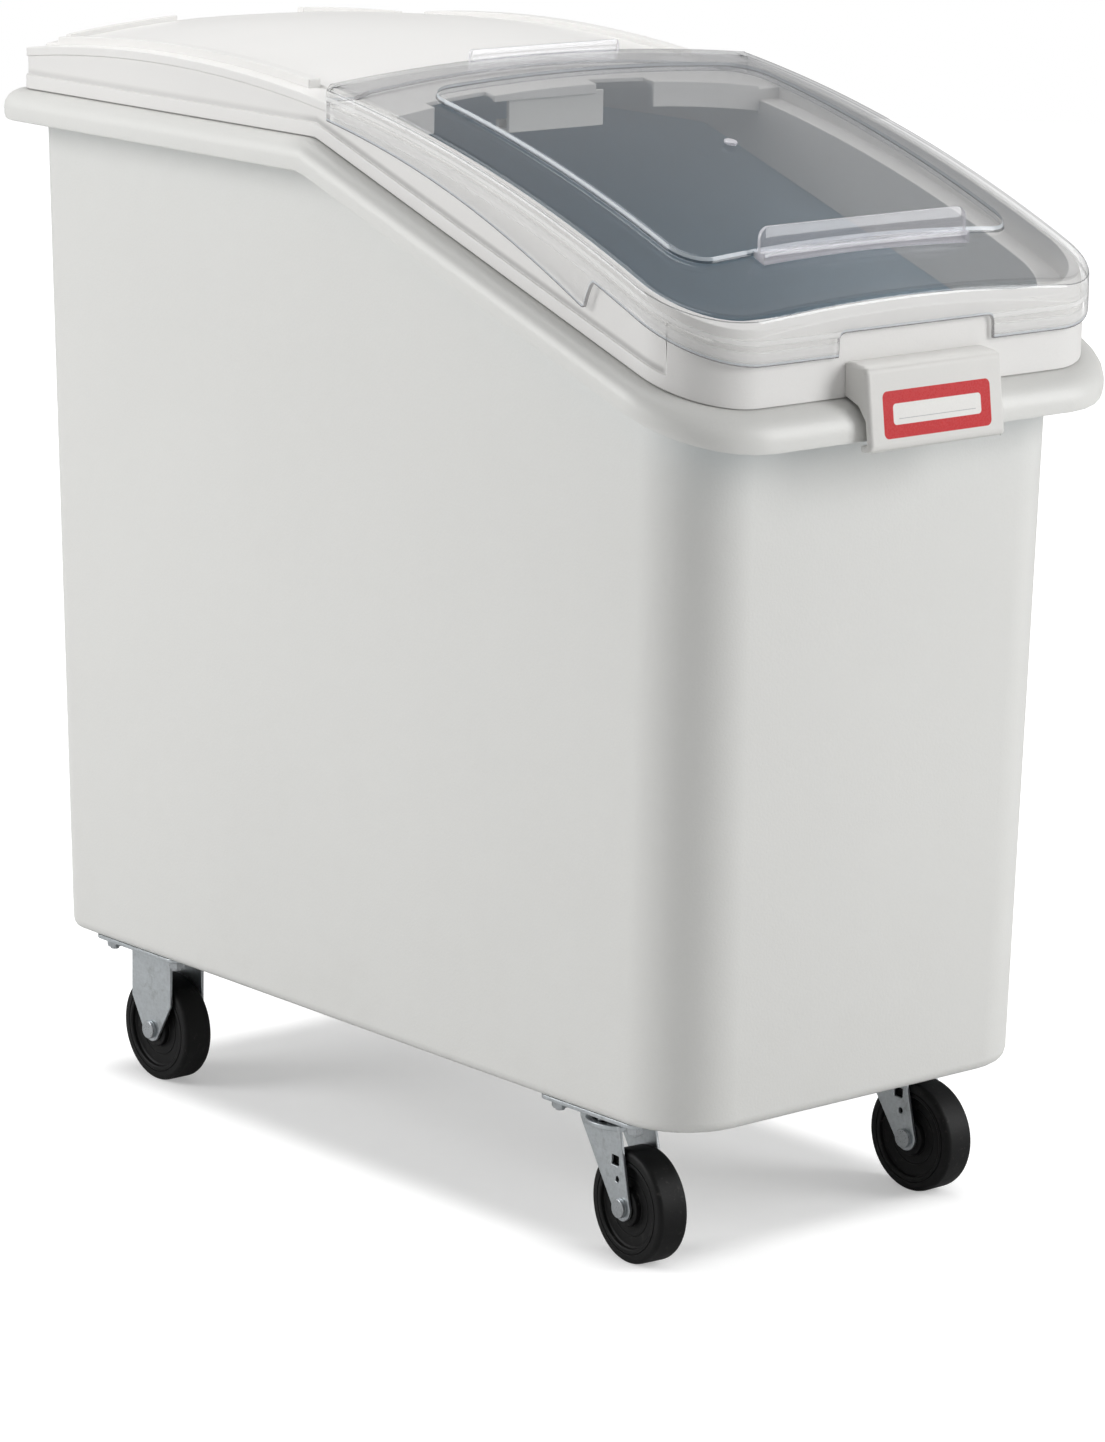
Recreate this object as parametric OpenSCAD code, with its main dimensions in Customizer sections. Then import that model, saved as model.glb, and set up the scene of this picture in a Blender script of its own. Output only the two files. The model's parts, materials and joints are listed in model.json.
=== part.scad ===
// Rolling flour bin: a moulded tub on four casters, closed by an arched cover frame with a clear front lid.
// Millimetres. Z is up, the floor is z = 0, the low front with the latch faces -Y.

/* [Rim] */
// Width over the rim
rim_w = 394; // [372:1:416]
// Length over the rim
rim_l = 749; // [715:1:785]
// Height of the level rear part of the rim
rim_z = 706; // [680:1:735]
// Angle at which the front part of the rim falls
rim_fall = 19.1; // [17:0.1:21]
// Distance of the bend behind the middle of the rim
bend_y = 20; // [5:1:35]
// Radius of the bend
bend_r = 40; // [20:1:60]
// Height of the rolled rim
rim_h = 21; // [17:0.5:26]
// Thickness of the rolled rim
rim_t = 4.5; // [3.5:0.1:6]
// Corner radius of the rim at the front
rim_front_r = 68; // [60:1:76]
// Corner radius of the rim at the rear
rim_rear_r = 32; // [29:1:40]

/* [Tub] */
// Overhang of the rim past the side walls
over_side = 28; // [24:0.5:32]
// Overhang of the rim past the rear wall
over_rear = 23; // [20:0.5:30]
// Overhang of the rim past the front wall
over_front = 30; // [25:0.5:34]
// Draft of each side wall from the rim to the underside
draft_side = 8; // [4:0.5:12]
// Draft of the rear wall
draft_rear = 17; // [8:0.5:22]
// Draft of the front wall
draft_front = 13; // [6:0.5:18]
// Thickness of the tub walls
wall_t = 4; // [3:0.1:5]
// Thickness of the tub floor
floor_t = 5; // [4:0.1:7]
// Rounding between the walls and the underside
foot_r = 8; // [5:0.5:12]

/* [Cover frame] */
// Width of the rim ledge left outside the frame
ledge_w = 15.5; // [13:0.5:18]
// Height of the frame's foot flange
flange_h = 10; // [7:0.5:12]
// Setback of the frame wall from the foot flange
recess = 1.5; // [1:0.5:3]
// Thickness of the frame wall
frame_t = 4; // [3:0.1:5]
// Depth of the lip that locates the frame inside the tub mouth
lip_depth = 12; // [8:1:18]
// Depth of the frame's inner shelf below the arch
shelf_drop = 20; // [17:0.5:24]
// Thickness of the inner shelf
shelf_t = 3; // [2.5:0.1:4]
// Radius of the arched side edge of the clear lid
arc_r = 1250; // [1200:5:1300]
// Rise of the arch above the rim
arch_rise = 51; // [48:0.5:56]
// Distance of the arch's crest behind the middle of the rim
arc_y = 195; // [180:1:210]
// Thickness of the rear deck
deck_t = 3; // [2.5:0.1:4]
// Crown of the deck across its width
deck_crown = 10.5; // [6:0.5:12]
// Distance of the deck's front edge ahead of the middle of the rim
deck_front = 37; // [28:1:48]
// Depth of the deck's front apron
apron_h = 17; // [13:0.5:20]
// Width of the notch in the apron on each side of the hook
notch_w = 50.5; // [40:0.5:60]
// Width of each guide rail
rail_w = 10; // [6:0.5:12]
// Height of the guide rails above the side ledges
rail_h = 6; // [4:0.5:7]
// Length of each stop rib on the rear edge
rib_l = 92; // [70:1:100]
// Height of the stop ribs
rib_h = 4; // [2:0.5:6]

/* [Clear lid] */
// Thickness of the clear lid
lid_t = 2.6; // [2:0.1:3.2]
// Gap between the lid's skirts and the frame
lid_gap = 1; // [0.6:0.1:1.5]
// Crown of the lid across its width
lid_crown = 10; // [7:0.5:13]
// Distance of the lid's rear edge behind the middle of the rim
lid_rear = 5; // [0:0.5:12]
// Depth of the side skirts at the rear
skirt_rear = 19; // [16:0.5:22]
// Depth of the side skirts at their deepest place
skirt_deep = 41; // [34:0.5:44]
// Depth of the front skirt
skirt_front = 21.5; // [18:0.5:24]
// Distance of the deep skirts' front end ahead of the middle of the rim
skirt_end = 256; // [230:1:280]
// Width of the raised middle panel
panel_w = 284; // [260:1:300]
// Height of the raised middle panel
panel_h = 3.5; // [2:0.5:5]
// Length of the front pull tab
tab_l = 178; // [140:1:200]
// Height of the front pull tab
tab_h = 18; // [12:0.5:24]

/* [Latch and hook] */
// Width of the front latch
latch_w = 117; // [100:1:130]
// Distance the latch stands out in front of the rim
latch_out = 10.5; // [8:0.5:14]
// Lean of the latch's front face from its lower to its upper edge
latch_lean = 6.5; // [3:0.5:9]
// Thickness of the latch walls
latch_t = 4.5; // [3.5:0.1:6]
// Length of the hanging hook
hook_l = 82; // [70:1:94]
// Drop of the hanging hook below the deck's apron
hook_drop = 12; // [8:0.5:16]

/* [Casters] */
// Diameter of the wheels
wheel_d = 76.2; // [70:0.2:80]
// Width of the wheels
wheel_w = 23; // [20:0.5:26]
// Height of the tub underside above the floor
caster_h = 102; // [98:0.5:108]
// Distance of each caster in from the side edge of the underside
caster_in = 36; // [35:0.5:46]
// Distance of the rear axle in from the rear edge of the underside
rear_in = 75.8; // [68:0.2:95]
// Distance of the swivel axis in from the front edge of the underside
front_in = 94.8; // [85:0.2:110]
// Trail of the front wheels
trail = 23; // [18:0.5:28]
// Turn of the front left caster at rest
left_turn = -4.8; // [-180:0.1:180]
// Turn of the front right caster at rest
right_turn = 1.1; // [-180:0.1:180]
// Thickness of the caster legs
leg_t = 2.5; // [2:0.1:3.5]
// Diameter of the axle bolts
axle_d = 8; // [7:0.1:9]
// Diameter of the axle sleeves
sleeve_d = 12; // [11:0.1:14]
// Diameter of the mounting bolts
bolt_d = 6.4; // [5:0.1:7]

/* [Hidden] */
$fn = 96;
// Fineness of the large arches
arch_fn = 720;
// Running clearance of wheels and kingpins, per side
run_gap = 0.05;
// Clearance between pieces that are fixed to each other, per side
fix_gap = 0.05;
// Clearance of through holes, per side
hole_gap = 0.3;
// Gap between the frame and the rim it lies on
seat_gap = 0.3;
// Gap between the locating lip and the tub wall
lip_gap = 1.5;
// Gap between the lid's rear lip and the deck
deck_gap = 1.2;
// Length by which cutting shapes reach past the object
clear = 400;

// Places measured from the middle of the rim; the whole object is then centred on the origin with its latch
mid_y = latch_out / 2;
rim_hx = rim_w / 2;
rim_yf = -rim_l / 2;
rim_yr = rim_l / 2;
tub_hx = rim_hx - over_side;
tub_yf = rim_yf + over_front;
tub_yr = rim_yr - over_rear;
tub_front_r = rim_front_r * 0.75;
tub_rear_r = rim_rear_r * 0.5;
inner_r = 4;
foot_hx = tub_hx - draft_side;
foot_yf = tub_yf + draft_front;
foot_yr = tub_yr - draft_rear;
edge_w = ledge_w - 1.5;
edge_h = rim_h * 0.57;

// Line of the rim's top face: level, a rounded bend, then a straight fall to the front
bend_n = 3;
bend_len = bend_r * tan(rim_fall / 2);
bend_ys = [for (k = [bend_n:-1:0]) bend_y + bend_len - bend_r * sin(rim_fall * k / bend_n)];
bend_zs = [for (k = [bend_n:-1:0]) rim_z - bend_r * (1 - cos(rim_fall * k / bend_n))];
far_y = 2 * rim_l;
rim_tab = concat(
  [[-far_y, bend_zs[0] - (bend_ys[0] + far_y) * tan(rim_fall)]],
  [for (k = [0:bend_n]) [bend_ys[k], bend_zs[k]]],
  [[far_y, rim_z]]
);
function rim_top(y) = lookup(y, rim_tab);
function rim_line(d) = [for (y = concat([-rim_l], bend_ys, [rim_l])) [y, rim_top(y) + d]];
function backward(v) = [for (i = [len(v) - 1:-1:0]) v[i]];

// Closed outlines seen from above, all with the same number of points
corner_n = 8;
function corner(cx, cy, r, a) = [
  for (k = [0:corner_n]) [cx + r * cos(a + 90 * k / corner_n), cy + r * sin(a + 90 * k / corner_n)]
];
function outline(hx, yf, yr, rf, rr) = concat(
  [for (y = bend_ys) [hx, y]],
  corner(hx - rr, yr - rr, rr, 0),
  corner(rr - hx, yr - rr, rr, 90),
  [for (y = backward(bend_ys)) [-hx, y]],
  corner(rf - hx, yf + rf, rf, 180),
  corner(hx - rf, yf + rf, rf, 270)
);

// Rings of the tub's surface: level ones, ones that follow the rim line, ones of the rim itself
function share(z) = (rim_z - z) / (rim_z - caster_h);
function tub_outline(inset, z) = outline(
  tub_hx - draft_side * share(z) - inset,
  tub_yf + draft_front * share(z) + inset,
  tub_yr - draft_rear * share(z) - inset,
  tub_front_r - inset,
  tub_rear_r - inset
);
function level_ring(inset, z) = [for (p = tub_outline(inset, z)) [p.x, p.y, z]];
function mouth_ring(inset, dz) = [
  for (i = [0:ring_n - 1])
    let (z = rim_top(tub_outline(inset, rim_z)[i].y) + dz, p = tub_outline(inset, z)[i])
      [p.x, p.y, rim_top(p.y) + dz]
];
function rim_ring(a, dz) = [
  for (p = outline(rim_hx - a, rim_yf + a, rim_yr - a, rim_front_r - a, rim_rear_r - a))
    [p.x, p.y, rim_top(p.y) + dz]
];
ring_n = 4 * (corner_n + 1) + 2 * (bend_n + 1);
floor_z = caster_h + floor_t;
tub_rings = concat(
  [for (k = [0:4]) level_ring(foot_r * (1 - sin(22.5 * k)), caster_h + foot_r * (1 - cos(22.5 * k)))],
  [mouth_ring(0, -rim_t)],
  [rim_ring(rim_t, -rim_t), rim_ring(rim_t, 1 - rim_h), rim_ring(rim_t / 2, -rim_h)],
  [rim_ring(0.9, 0.8 - rim_h), rim_ring(0, 3.5 - rim_h)],
  [for (k = [0:5]) rim_ring(edge_w * (1 - cos(18 * k)), -edge_h * (1 - sin(18 * k)))],
  [mouth_ring(wall_t, 0)],
  [
    for (k = [0:4])
      level_ring(wall_t + inner_r * (1 - cos(22.5 * k)), floor_z + inner_r * (1 - sin(22.5 * k)))
  ]
);
tub_m = len(tub_rings);
tub_points = [for (r = tub_rings) for (p = r) p];
tub_sides = [
  for (j = [0:tub_m - 2]) for (i = [0:ring_n - 1]) for (h = [0, 1])
    let (k = (i + 1) % ring_n, a = j * ring_n, b = a + ring_n)
      h == 0 ? [a + i, b + i, b + k] : [a + i, b + k, a + k]
];
// The two end faces are ladders of triangles between the right and the left half of a ring
function right_i(k) = (ring_n - corner_n - 1 + k) % ring_n;
function left_i(k) = ring_n - corner_n - 2 - k;
ladder = [
  for (k = [0:ring_n / 2 - 2]) for (h = [0, 1])
    h == 0 ? [left_i(k), right_i(k), right_i(k + 1)] : [left_i(k), right_i(k + 1), left_i(k + 1)]
];
tub_faces = concat(
  ladder,
  tub_sides,
  [for (t = ladder) [for (i = backward(t)) (tub_m - 1) * ring_n + i]]
);

// Cover frame: insets from the rim outline and radii about the arch axis
arc_z = rim_z + arch_rise - arc_r;
flange_hx = rim_hx - ledge_w;
flange_yf = rim_yf + ledge_w;
wall_in = ledge_w + recess;
open_in = wall_in + frame_t;
front_in_y = flange_yf + 12;
flush_y = flange_yf + 33;
ledge_r = arc_r - 12.5;
bead_h = 6;
bead_out = 1.2;
deck_hx = rim_hx - wall_in - 22;
rail_rear = rim_yr - 46;
rail_front = lid_rear + 39;
rib_x = 56;
rib_y = rim_yr - 27;
seat_r = arc_r - 4;
seat_y = lid_rear - 24;
front_z = rim_top(flange_yf);
lip_share = share(front_z - lip_depth);
lip_hx = tub_hx - draft_side * lip_share - wall_t - lip_gap;
lip_yf = tub_yf + draft_front * lip_share + wall_t + lip_gap;
lip_yr = tub_yr - draft_rear * share(rim_z - lip_depth) - wall_t - lip_gap;
lip_front_r = tub_front_r - wall_t - lip_gap;
lip_rear_r = tub_rear_r - wall_t - lip_gap;
lip_t = 2.5;
notch_x = 11.5;
notch_d = 11;
between = 88;
relief = 7;
crown_n = 6;
low_depth = 130;
low_r = arc_r - low_depth;
arc_from = 79;
arc_to = 121;
function deck_at(x) = arc_r - 10.5 + deck_crown * (1 - pow(x / deck_hx, 2));
function deck_line(d) = concat(
  [[ledge_r + d, -rim_hx], [ledge_r + d, -deck_hx]],
  [for (k = [-crown_n:crown_n]) [deck_at(deck_hx * k / crown_n) + d, deck_hx * k / crown_n]],
  [[ledge_r + d, deck_hx], [ledge_r + d, rim_hx]]
);

// Clear lid
lid_hx = flange_hx + lid_gap + lid_t;
lid_yf = flange_yf - lid_gap - lid_t;
lid_front_r = rim_front_r - ledge_w + lid_gap + lid_t;
lid_round = 6;
panel_hx = panel_w / 2;
panel_yf = lid_yf + 57;
panel_yr = lid_rear - 48;
panel_r = 22;
tab_y = lid_yf + 52;
tab_t = 3;
tab_r = 8;
rear_tab_l = 130;
rear_tab_h = 6;
front_cut_w = latch_w + 17;
front_cut_h = 15;
lip_cut = 10;
skirt_cut = 5;
function lid_at(x) = arc_r + lid_crown * (1 - pow(x / lid_hx, 2));
function lid_line(hx, rr, d) = concat(
  [for (k = [3:-1:1]) [lid_at(hx - rr) + d - rr * (1 - cos(30 * k)), rr - hx - rr * sin(30 * k)]],
  [for (k = [-crown_n:crown_n]) [lid_at((hx - rr) * k / crown_n) + d, (hx - rr) * k / crown_n]],
  [for (k = [1:3]) [lid_at(hx - rr) + d - rr * (1 - cos(30 * k)), hx - rr + rr * sin(30 * k)]]
);
function arch_at(r, y) = arc_z + sqrt(r * r - (y - arc_y) * (y - arc_y));
tab_z = arch_at(arc_r + lid_crown, tab_y);
hinge_z = arch_at(arc_r + lid_crown, lid_rear);
// Arc of the deep skirts' lower edge, through its rear and its front end
deep_r = 1060;
deep_a = [lid_rear, arch_at(arc_r - skirt_rear, lid_rear)];
deep_b = [-skirt_end, arch_at(arc_r - skirt_deep, -skirt_end)];
deep_mid = (deep_a + deep_b) / 2;
deep_dir = (deep_a - deep_b) / norm(deep_a - deep_b);
deep_sag = sqrt(deep_r * deep_r - pow(norm(deep_a - deep_b) / 2, 2));
deep_c = deep_mid + [deep_dir.y, -deep_dir.x] * deep_sag;

// Latch and hook
latch_y = rim_yf - latch_out;
latch_rise = 24;
latch_drop = 10.5;
latch_slope = 2;
latch_edge = 2;
latch_toe = 3;
latch_gap = 0.6;
latch_top = front_z + latch_rise;
latch_low = front_z - rim_h - latch_drop;
apron_t = 2.5;
apron_y = -deck_front + apron_t;
hook_t = 3;
hook_out = 14;
hook_lip = 8;
hook_x = notch_x + 8.5;
hook_top = arch_at(deck_at(hook_l - hook_x), apron_y) - deck_t - 0.5;
hook_low = arch_at(arc_r, apron_y) - apron_h - hook_drop;

// Casters: place, turn and trail of each
wheel_r = wheel_d / 2;
caster_x = foot_hx - caster_in;
rear_left = [-caster_x, foot_yr - rear_in, 0, 0];
rear_right = [caster_x, foot_yr - rear_in, 0, 0];
front_left = [-caster_x, foot_yf + front_in, left_turn, trail];
front_right = [caster_x, foot_yf + front_in, right_turn, trail];
casters = [rear_left, rear_right, front_left, front_right];
plate_t = 3;
plate_w = 62;
plate_l = 96;
plate_r = 8;
plate_z = caster_h - plate_t;
bolt_x = 20;
bolt_y = 37;
bolt_head_d = 12;
bolt_head_h = 3;
nut_h = 6;
nut_flange_d = 14;
nut_d = 12;
bolt_end = 2;
side_gap = 1.2;
hub_out = 0.8;
leg_x = wheel_w / 2 + side_gap;
foot_pad = 9;
leg_w = 46;
leg_waist = 21;
sleeve_r = sleeve_d / 2;
hub_r = sleeve_r + 7;
web_r = wheel_r - 10;
web_in = 3.5;
shoulder = 3.5;
axle_head_h = 3.3;
axle_head_d = 13;
axle_nut_h = 5;
axle_nut_d = 15;
ball_d = 6;
ball_n = 14;
race_r = 16;
race_gap = 3.4;
race_h = 3.8;
race_out = 23;
crown_t = 3.5;
ball_gap = 0.3;
race_z = plate_z - race_h;
ball_z = race_z - race_gap / 2;
crown_z = race_z - race_gap;
pin_r = 5;
pin_head_r = 9;
pin_head_h = 3;
pin_gap = 0.4;
// Where a straight leg edge from p runs into a round foot about the origin, a hair inside its rim
function touch(p, r) = let (q = r - 0.1, b = atan2(p.y, p.x) - acos(q / norm(p))) [q * cos(b), q * sin(b)];

// Helpers
module put(c) color(c) translate([0, mid_y, 0]) children();
module upright() translate([0, 0, -10]) linear_extrude(rim_z + clear) children();
module along_x(half) rotate([90, 0, 90]) linear_extrude(2 * half, center = true) children();
module plan(hx, yf, yr, rf, rr) {
  translate([-hx, yf + rf]) square([2 * hx, yr - rr - yf - rf]);
  translate([rf - hx, yf]) square([2 * (hx - rf), rf]);
  translate([rr - hx, yr - rr]) square([2 * (hx - rr), rr]);
  for (s = [-1, 1]) {
    translate([s * (hx - rf), yf + rf]) circle(rf);
    translate([s * (hx - rr), yr - rr]) circle(rr);
  }
}
module rim_plan(a) plan(rim_hx - a, rim_yf + a, rim_yr - a, rim_front_r - a, max(rim_rear_r - a, 1));
module open_plan() plan(rim_hx - open_in, front_in_y, rim_yr - open_in, rim_front_r - open_in, 3);
module frame_ring(a) difference() {
  rim_plan(a);
  open_plan();
}
module band(a, b) along_x(rim_w) polygon(concat(rim_line(a), backward(rim_line(b))));
module sweep(pts) translate([0, arc_y, arc_z]) rotate([90, 0, 90]) rotate([0, 0, arc_from])
  rotate_extrude(angle = arc_to - arc_from, $fn = arch_fn) polygon(pts);
module below(line) sweep(concat([[low_r, -rim_hx]], line, [[low_r, rim_hx]]));
module shell(r0, r1) sweep([[r0, -rim_hx], [r1, -rim_hx], [r1, rim_hx], [r0, rim_hx]]);
module slab(y0, y1) translate([-rim_w, y0, -10]) cube([2 * rim_w, y1 - y0, rim_z + clear]);
module at(c) translate([c[0], c[1], 0]) rotate([0, 0, c[2]]) children();
module at_axle(c) at(c) translate([0, -c[3], wheel_r]) rotate([0, 90, 0]) children();
module at_bolts() for (c = casters) for (sx = [-1, 1]) for (sy = [-1, 1])
  translate([c[0] + sx * bolt_x, c[1] + sy * bolt_y, 0]) children();

// Tub with its rolled rim and the holes for the casters
module tub() put([0.90, 0.92, 0.94]) difference() {
  polyhedron(points = tub_points, faces = tub_faces, convexity = 8);
  at_bolts() translate([0, 0, caster_h - 1]) cylinder(d = bolt_d + 2 * hole_gap, h = floor_t + 2);
}

// Cover frame
module frame_walls() intersection() {
  union() {
    upright() frame_ring(wall_in);
    intersection() {
      upright() frame_ring(ledge_w);
      slab(rim_yf, flush_y);
    }
  }
  band(seat_gap, clear);
  below(deck_line(0));
}
module frame_foot() intersection() {
  upright() frame_ring(ledge_w);
  band(seat_gap, flange_h);
}
module lip_plan(a) plan(lip_hx - a, lip_yf + a, lip_yr - a, lip_front_r - a, lip_rear_r - a);
module frame_shelf() {
  intersection() {
    upright() difference() {
      rim_plan(wall_in);
      lip_plan(lip_t);
    }
    shell(arc_r - shelf_drop - shelf_t, arc_r - shelf_drop);
  }
  intersection() {
    upright() difference() {
      lip_plan(0);
      lip_plan(lip_t);
    }
    band(-lip_depth, clear);
    shell(low_r, arc_r - shelf_drop - shelf_t / 2);
  }
}
module frame_bead() intersection() {
  upright() frame_ring(wall_in - bead_out);
  shell(ledge_r - bead_h, ledge_r);
}
module frame_seat() intersection() {
  upright() frame_ring(ledge_w + 2);
  shell(ledge_r - bead_h, seat_r);
  slab(rim_yf, seat_y);
}
module frame_deck() difference() {
  intersection() {
    upright() rim_plan(wall_in);
    union() {
      intersection() {
        sweep(concat(deck_line(0), backward(deck_line(-deck_t))));
        slab(-deck_front, rim_yr);
      }
      intersection() {
        sweep(concat(deck_line(0), backward(deck_line(-apron_h))));
        slab(-deck_front, apron_y);
      }
    }
  }
  for (x = [notch_x, notch_x - between - notch_w])
    translate([x, -deck_front - 1, rim_z - clear / 4]) cube([notch_w, notch_d, clear / 2]);
  translate([notch_x - between - 1, -deck_front - 1, rim_z - clear / 4])
    cube([between + 2, apron_t + 2, arch_at(arc_r, -deck_front) - relief - rim_z + clear / 4]);
}
module frame_rails() intersection() {
  for (s = [-1, 1]) {
    x0 = s * deck_hx;
    x1 = s * (deck_hx + rail_w);
    sweep([[ledge_r - 2, x0], [ledge_r + rail_h, x0], [ledge_r + rail_h, x1], [ledge_r - 2, x1]]);
  }
  slab(rail_front, rail_rear);
}
module frame_ribs() intersection() {
  for (s = [-1, 1]) {
    xs = [for (k = [0:4]) s * (rib_x + rib_l * k / 4)];
    sweep(concat(
      [for (x = xs) [deck_at(x) + rib_h, x]],
      [for (x = backward(xs)) [deck_at(x) - deck_t / 2, x]]
    ));
  }
  slab(rib_y - 7, rib_y);
}
module lid_frame() put([0.95, 0.94, 0.91]) union() {
  frame_foot();
  frame_shelf();
  frame_walls();
  frame_bead();
  frame_seat();
  frame_deck();
  frame_rails();
  frame_ribs();
}

// Clear lid
module lid_outer() {
  intersection() {
    upright() plan(lid_hx, lid_yf, lid_rear, lid_front_r, 2);
    below(lid_line(lid_hx, lid_round, 0));
  }
  intersection() {
    upright() plan(panel_hx, panel_yf, panel_yr, panel_r, panel_r);
    below(lid_line(lid_hx, lid_round, panel_h));
  }
}
module lid_inner() {
  intersection() {
    upright() plan(lid_hx - lid_t, lid_yf + lid_t, lid_rear - lid_t, lid_front_r - lid_t, 1);
    below(lid_line(lid_hx - lid_t, lid_round - lid_t, -lid_t));
  }
  intersection() {
    upright() plan(panel_hx - lid_t, panel_yf + lid_t, panel_yr - lid_t, panel_r - lid_t, panel_r - lid_t);
    below(lid_line(lid_hx - lid_t, lid_round - lid_t, panel_h - lid_t));
  }
}
module lid_trim() {
  intersection() {
    slab(rim_yf, -skirt_end);
    translate([0, arc_y, arc_z]) rotate([0, 90, 0])
      cylinder(r = arc_r - skirt_front, h = 2 * rim_w, center = true, $fn = arch_fn);
  }
  intersection() {
    slab(-skirt_end, rim_yr);
    translate([0, deep_c.x, deep_c.y]) rotate([0, 90, 0])
      cylinder(r = deep_r, h = 2 * rim_w, center = true, $fn = arch_fn);
  }
  intersection() {
    translate([lid_t - lid_hx, lid_rear - lip_cut, 0])
      cube([2 * (lid_hx - lid_t), 2 * lip_cut, rim_z + clear]);
    below(deck_line(deck_gap));
  }
  translate([-front_cut_w / 2, lid_yf - skirt_cut, 0])
    cube([front_cut_w, 4 * skirt_cut, arch_at(arc_r - skirt_front, lid_yf) + front_cut_h]);
}
module tab_shape(l, h, r) {
  translate([-l / 2, -6]) square([l, h + 6 - r]);
  translate([r - l / 2, 0]) square([l - 2 * r, h]);
  for (s = [-1, 1]) translate([s * (l / 2 - r), h - r]) circle(r);
}
module clear_lid() put([0.80, 0.82, 0.86, 0.45]) difference() {
  union() {
    difference() {
      lid_outer();
      lid_inner();
      lid_trim();
    }
    difference() {
      union() {
        translate([0, tab_y + tab_t / 2, tab_z]) rotate([90, 0, 0])
          linear_extrude(tab_t) tab_shape(tab_l, tab_h, tab_r);
        translate([-tab_l / 2, tab_y - 5, tab_z - 6]) cube([tab_l, 10, 8]);
        translate([0, lid_rear, hinge_z]) rotate([90, 0, 0])
          linear_extrude(lid_t) tab_shape(rear_tab_l, rear_tab_h, 3);
      }
      below(lid_line(lid_hx, lid_round, -lid_t / 2));
    }
  }
}

// Latch that reaches from the frame down over the front of the rim
module front_latch() put([0.80, 0.79, 0.76]) along_x(latch_w / 2) polygon([
  [flange_yf, latch_top],
  [latch_y + latch_lean + latch_edge, latch_top - latch_slope],
  [latch_y + latch_lean, latch_top - latch_slope - latch_edge],
  [latch_y, latch_low + latch_edge],
  [latch_y + latch_toe, latch_low],
  [rim_yf - latch_gap, latch_low],
  [rim_yf - latch_gap, latch_low + latch_t],
  [latch_y + latch_t, latch_low + latch_t],
  [latch_y + latch_t + latch_lean / 3, front_z - edge_h],
  [rim_yf + latch_toe, front_z - latch_toe],
  [flange_yf, front_z + latch_slope]
]);

// Hook behind the deck's apron
module hook_section() polygon([
  [apron_y, hook_top],
  [apron_y, hook_low],
  [apron_y + hook_out, hook_low],
  [apron_y + hook_out, hook_low + hook_lip],
  [apron_y + hook_out - hook_t, hook_low + hook_lip],
  [apron_y + hook_out - hook_t, hook_low + hook_t],
  [apron_y + hook_t, hook_low + hook_t],
  [apron_y + hook_t, hook_top]
]);
module hanging_hook() put([0.95, 0.95, 0.93])
  translate([hook_x - hook_l / 2, 0, 0]) along_x(hook_l / 2) hook_section();

// Fasteners of the casters
module caster_bolts() put([0.72, 0.74, 0.77]) at_bolts() {
  translate([0, 0, floor_z]) cylinder(d = bolt_head_d, h = bolt_head_h);
  translate([0, 0, plate_z - nut_h - bolt_end])
    cylinder(d = bolt_d, h = floor_z - plate_z + nut_h + bolt_end + 1);
}
module caster_nuts() put([0.70, 0.72, 0.75]) at_bolts() difference() {
  union() {
    translate([0, 0, plate_z - 1.5]) cylinder(d = nut_flange_d, h = 1.5);
    translate([0, 0, plate_z - nut_h]) cylinder(d = nut_d, h = nut_h - 1, $fn = 6);
  }
  translate([0, 0, plate_z - nut_h - 1]) cylinder(d = bolt_d + 2 * fix_gap, h = nut_h + 2);
}

// Caster pieces; c is the caster's place
module plate_body() difference() {
  translate([0, 0, plate_z]) linear_extrude(plate_t)
    plan(plate_w / 2, -plate_l / 2, plate_l / 2, plate_r, plate_r);
  for (sx = [-1, 1]) for (sy = [-1, 1])
    translate([sx * bolt_x, sy * bolt_y, plate_z - 1]) cylinder(d = bolt_d + 2 * hole_gap, h = plate_t + 2);
}
module leg_pair() for (s = [-1, 1]) translate([s * (leg_x + leg_t / 2), 0, 0]) along_x(leg_t / 2) children();
module axle_hole() rotate([0, 90, 0]) cylinder(d = axle_d + 2 * fix_gap, h = 60, center = true);
module rear_bracket(c) put([0.74, 0.77, 0.80]) {
  knee = [leg_w / 2, leg_waist];
  toe = touch(knee, foot_pad);
  translate([c[0], c[1], 0]) difference() {
    union() {
      plate_body();
      translate([0, 0, wheel_r]) leg_pair() {
        circle(foot_pad);
        polygon([
          [-toe.x, toe.y], [toe.x, toe.y], knee, [leg_w / 2, plate_z - wheel_r + 1],
          [-leg_w / 2, plate_z - wheel_r + 1], [-leg_w / 2, leg_waist]
        ]);
      }
    }
    translate([0, 0, wheel_r]) axle_hole();
  }
}
module ball_groove(gap) translate([0, 0, ball_z])
  rotate_extrude() translate([race_r, 0]) circle(d = ball_d + 2 * gap, $fn = 48);
module swivel_plate(c) put([0.76, 0.78, 0.81]) translate([c[0], c[1], 0]) difference() {
  union() {
    plate_body();
    translate([0, 0, race_z]) cylinder(r = race_out, h = race_h + 1);
  }
  translate([0, 0, race_z - 1]) cylinder(r = pin_r + fix_gap, h = 20);
  ball_groove(fix_gap);
}
module kingpin(c) put([0.66, 0.68, 0.71]) translate([c[0], c[1], 0]) {
  head_z = crown_z - crown_t - pin_gap;
  translate([0, 0, head_z - pin_head_h]) cylinder(r = pin_head_r, h = pin_head_h);
  translate([0, 0, head_z - 1]) cylinder(r = pin_r, h = caster_h - head_z + 0.5);
}
module race_balls(c) put([0.62, 0.64, 0.66]) translate([c[0], c[1], ball_z])
  for (k = [0:ball_n - 1])
    rotate([0, 0, 360 * k / ball_n]) translate([race_r, 0, 0]) sphere(d = ball_d, $fn = 32);
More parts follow.
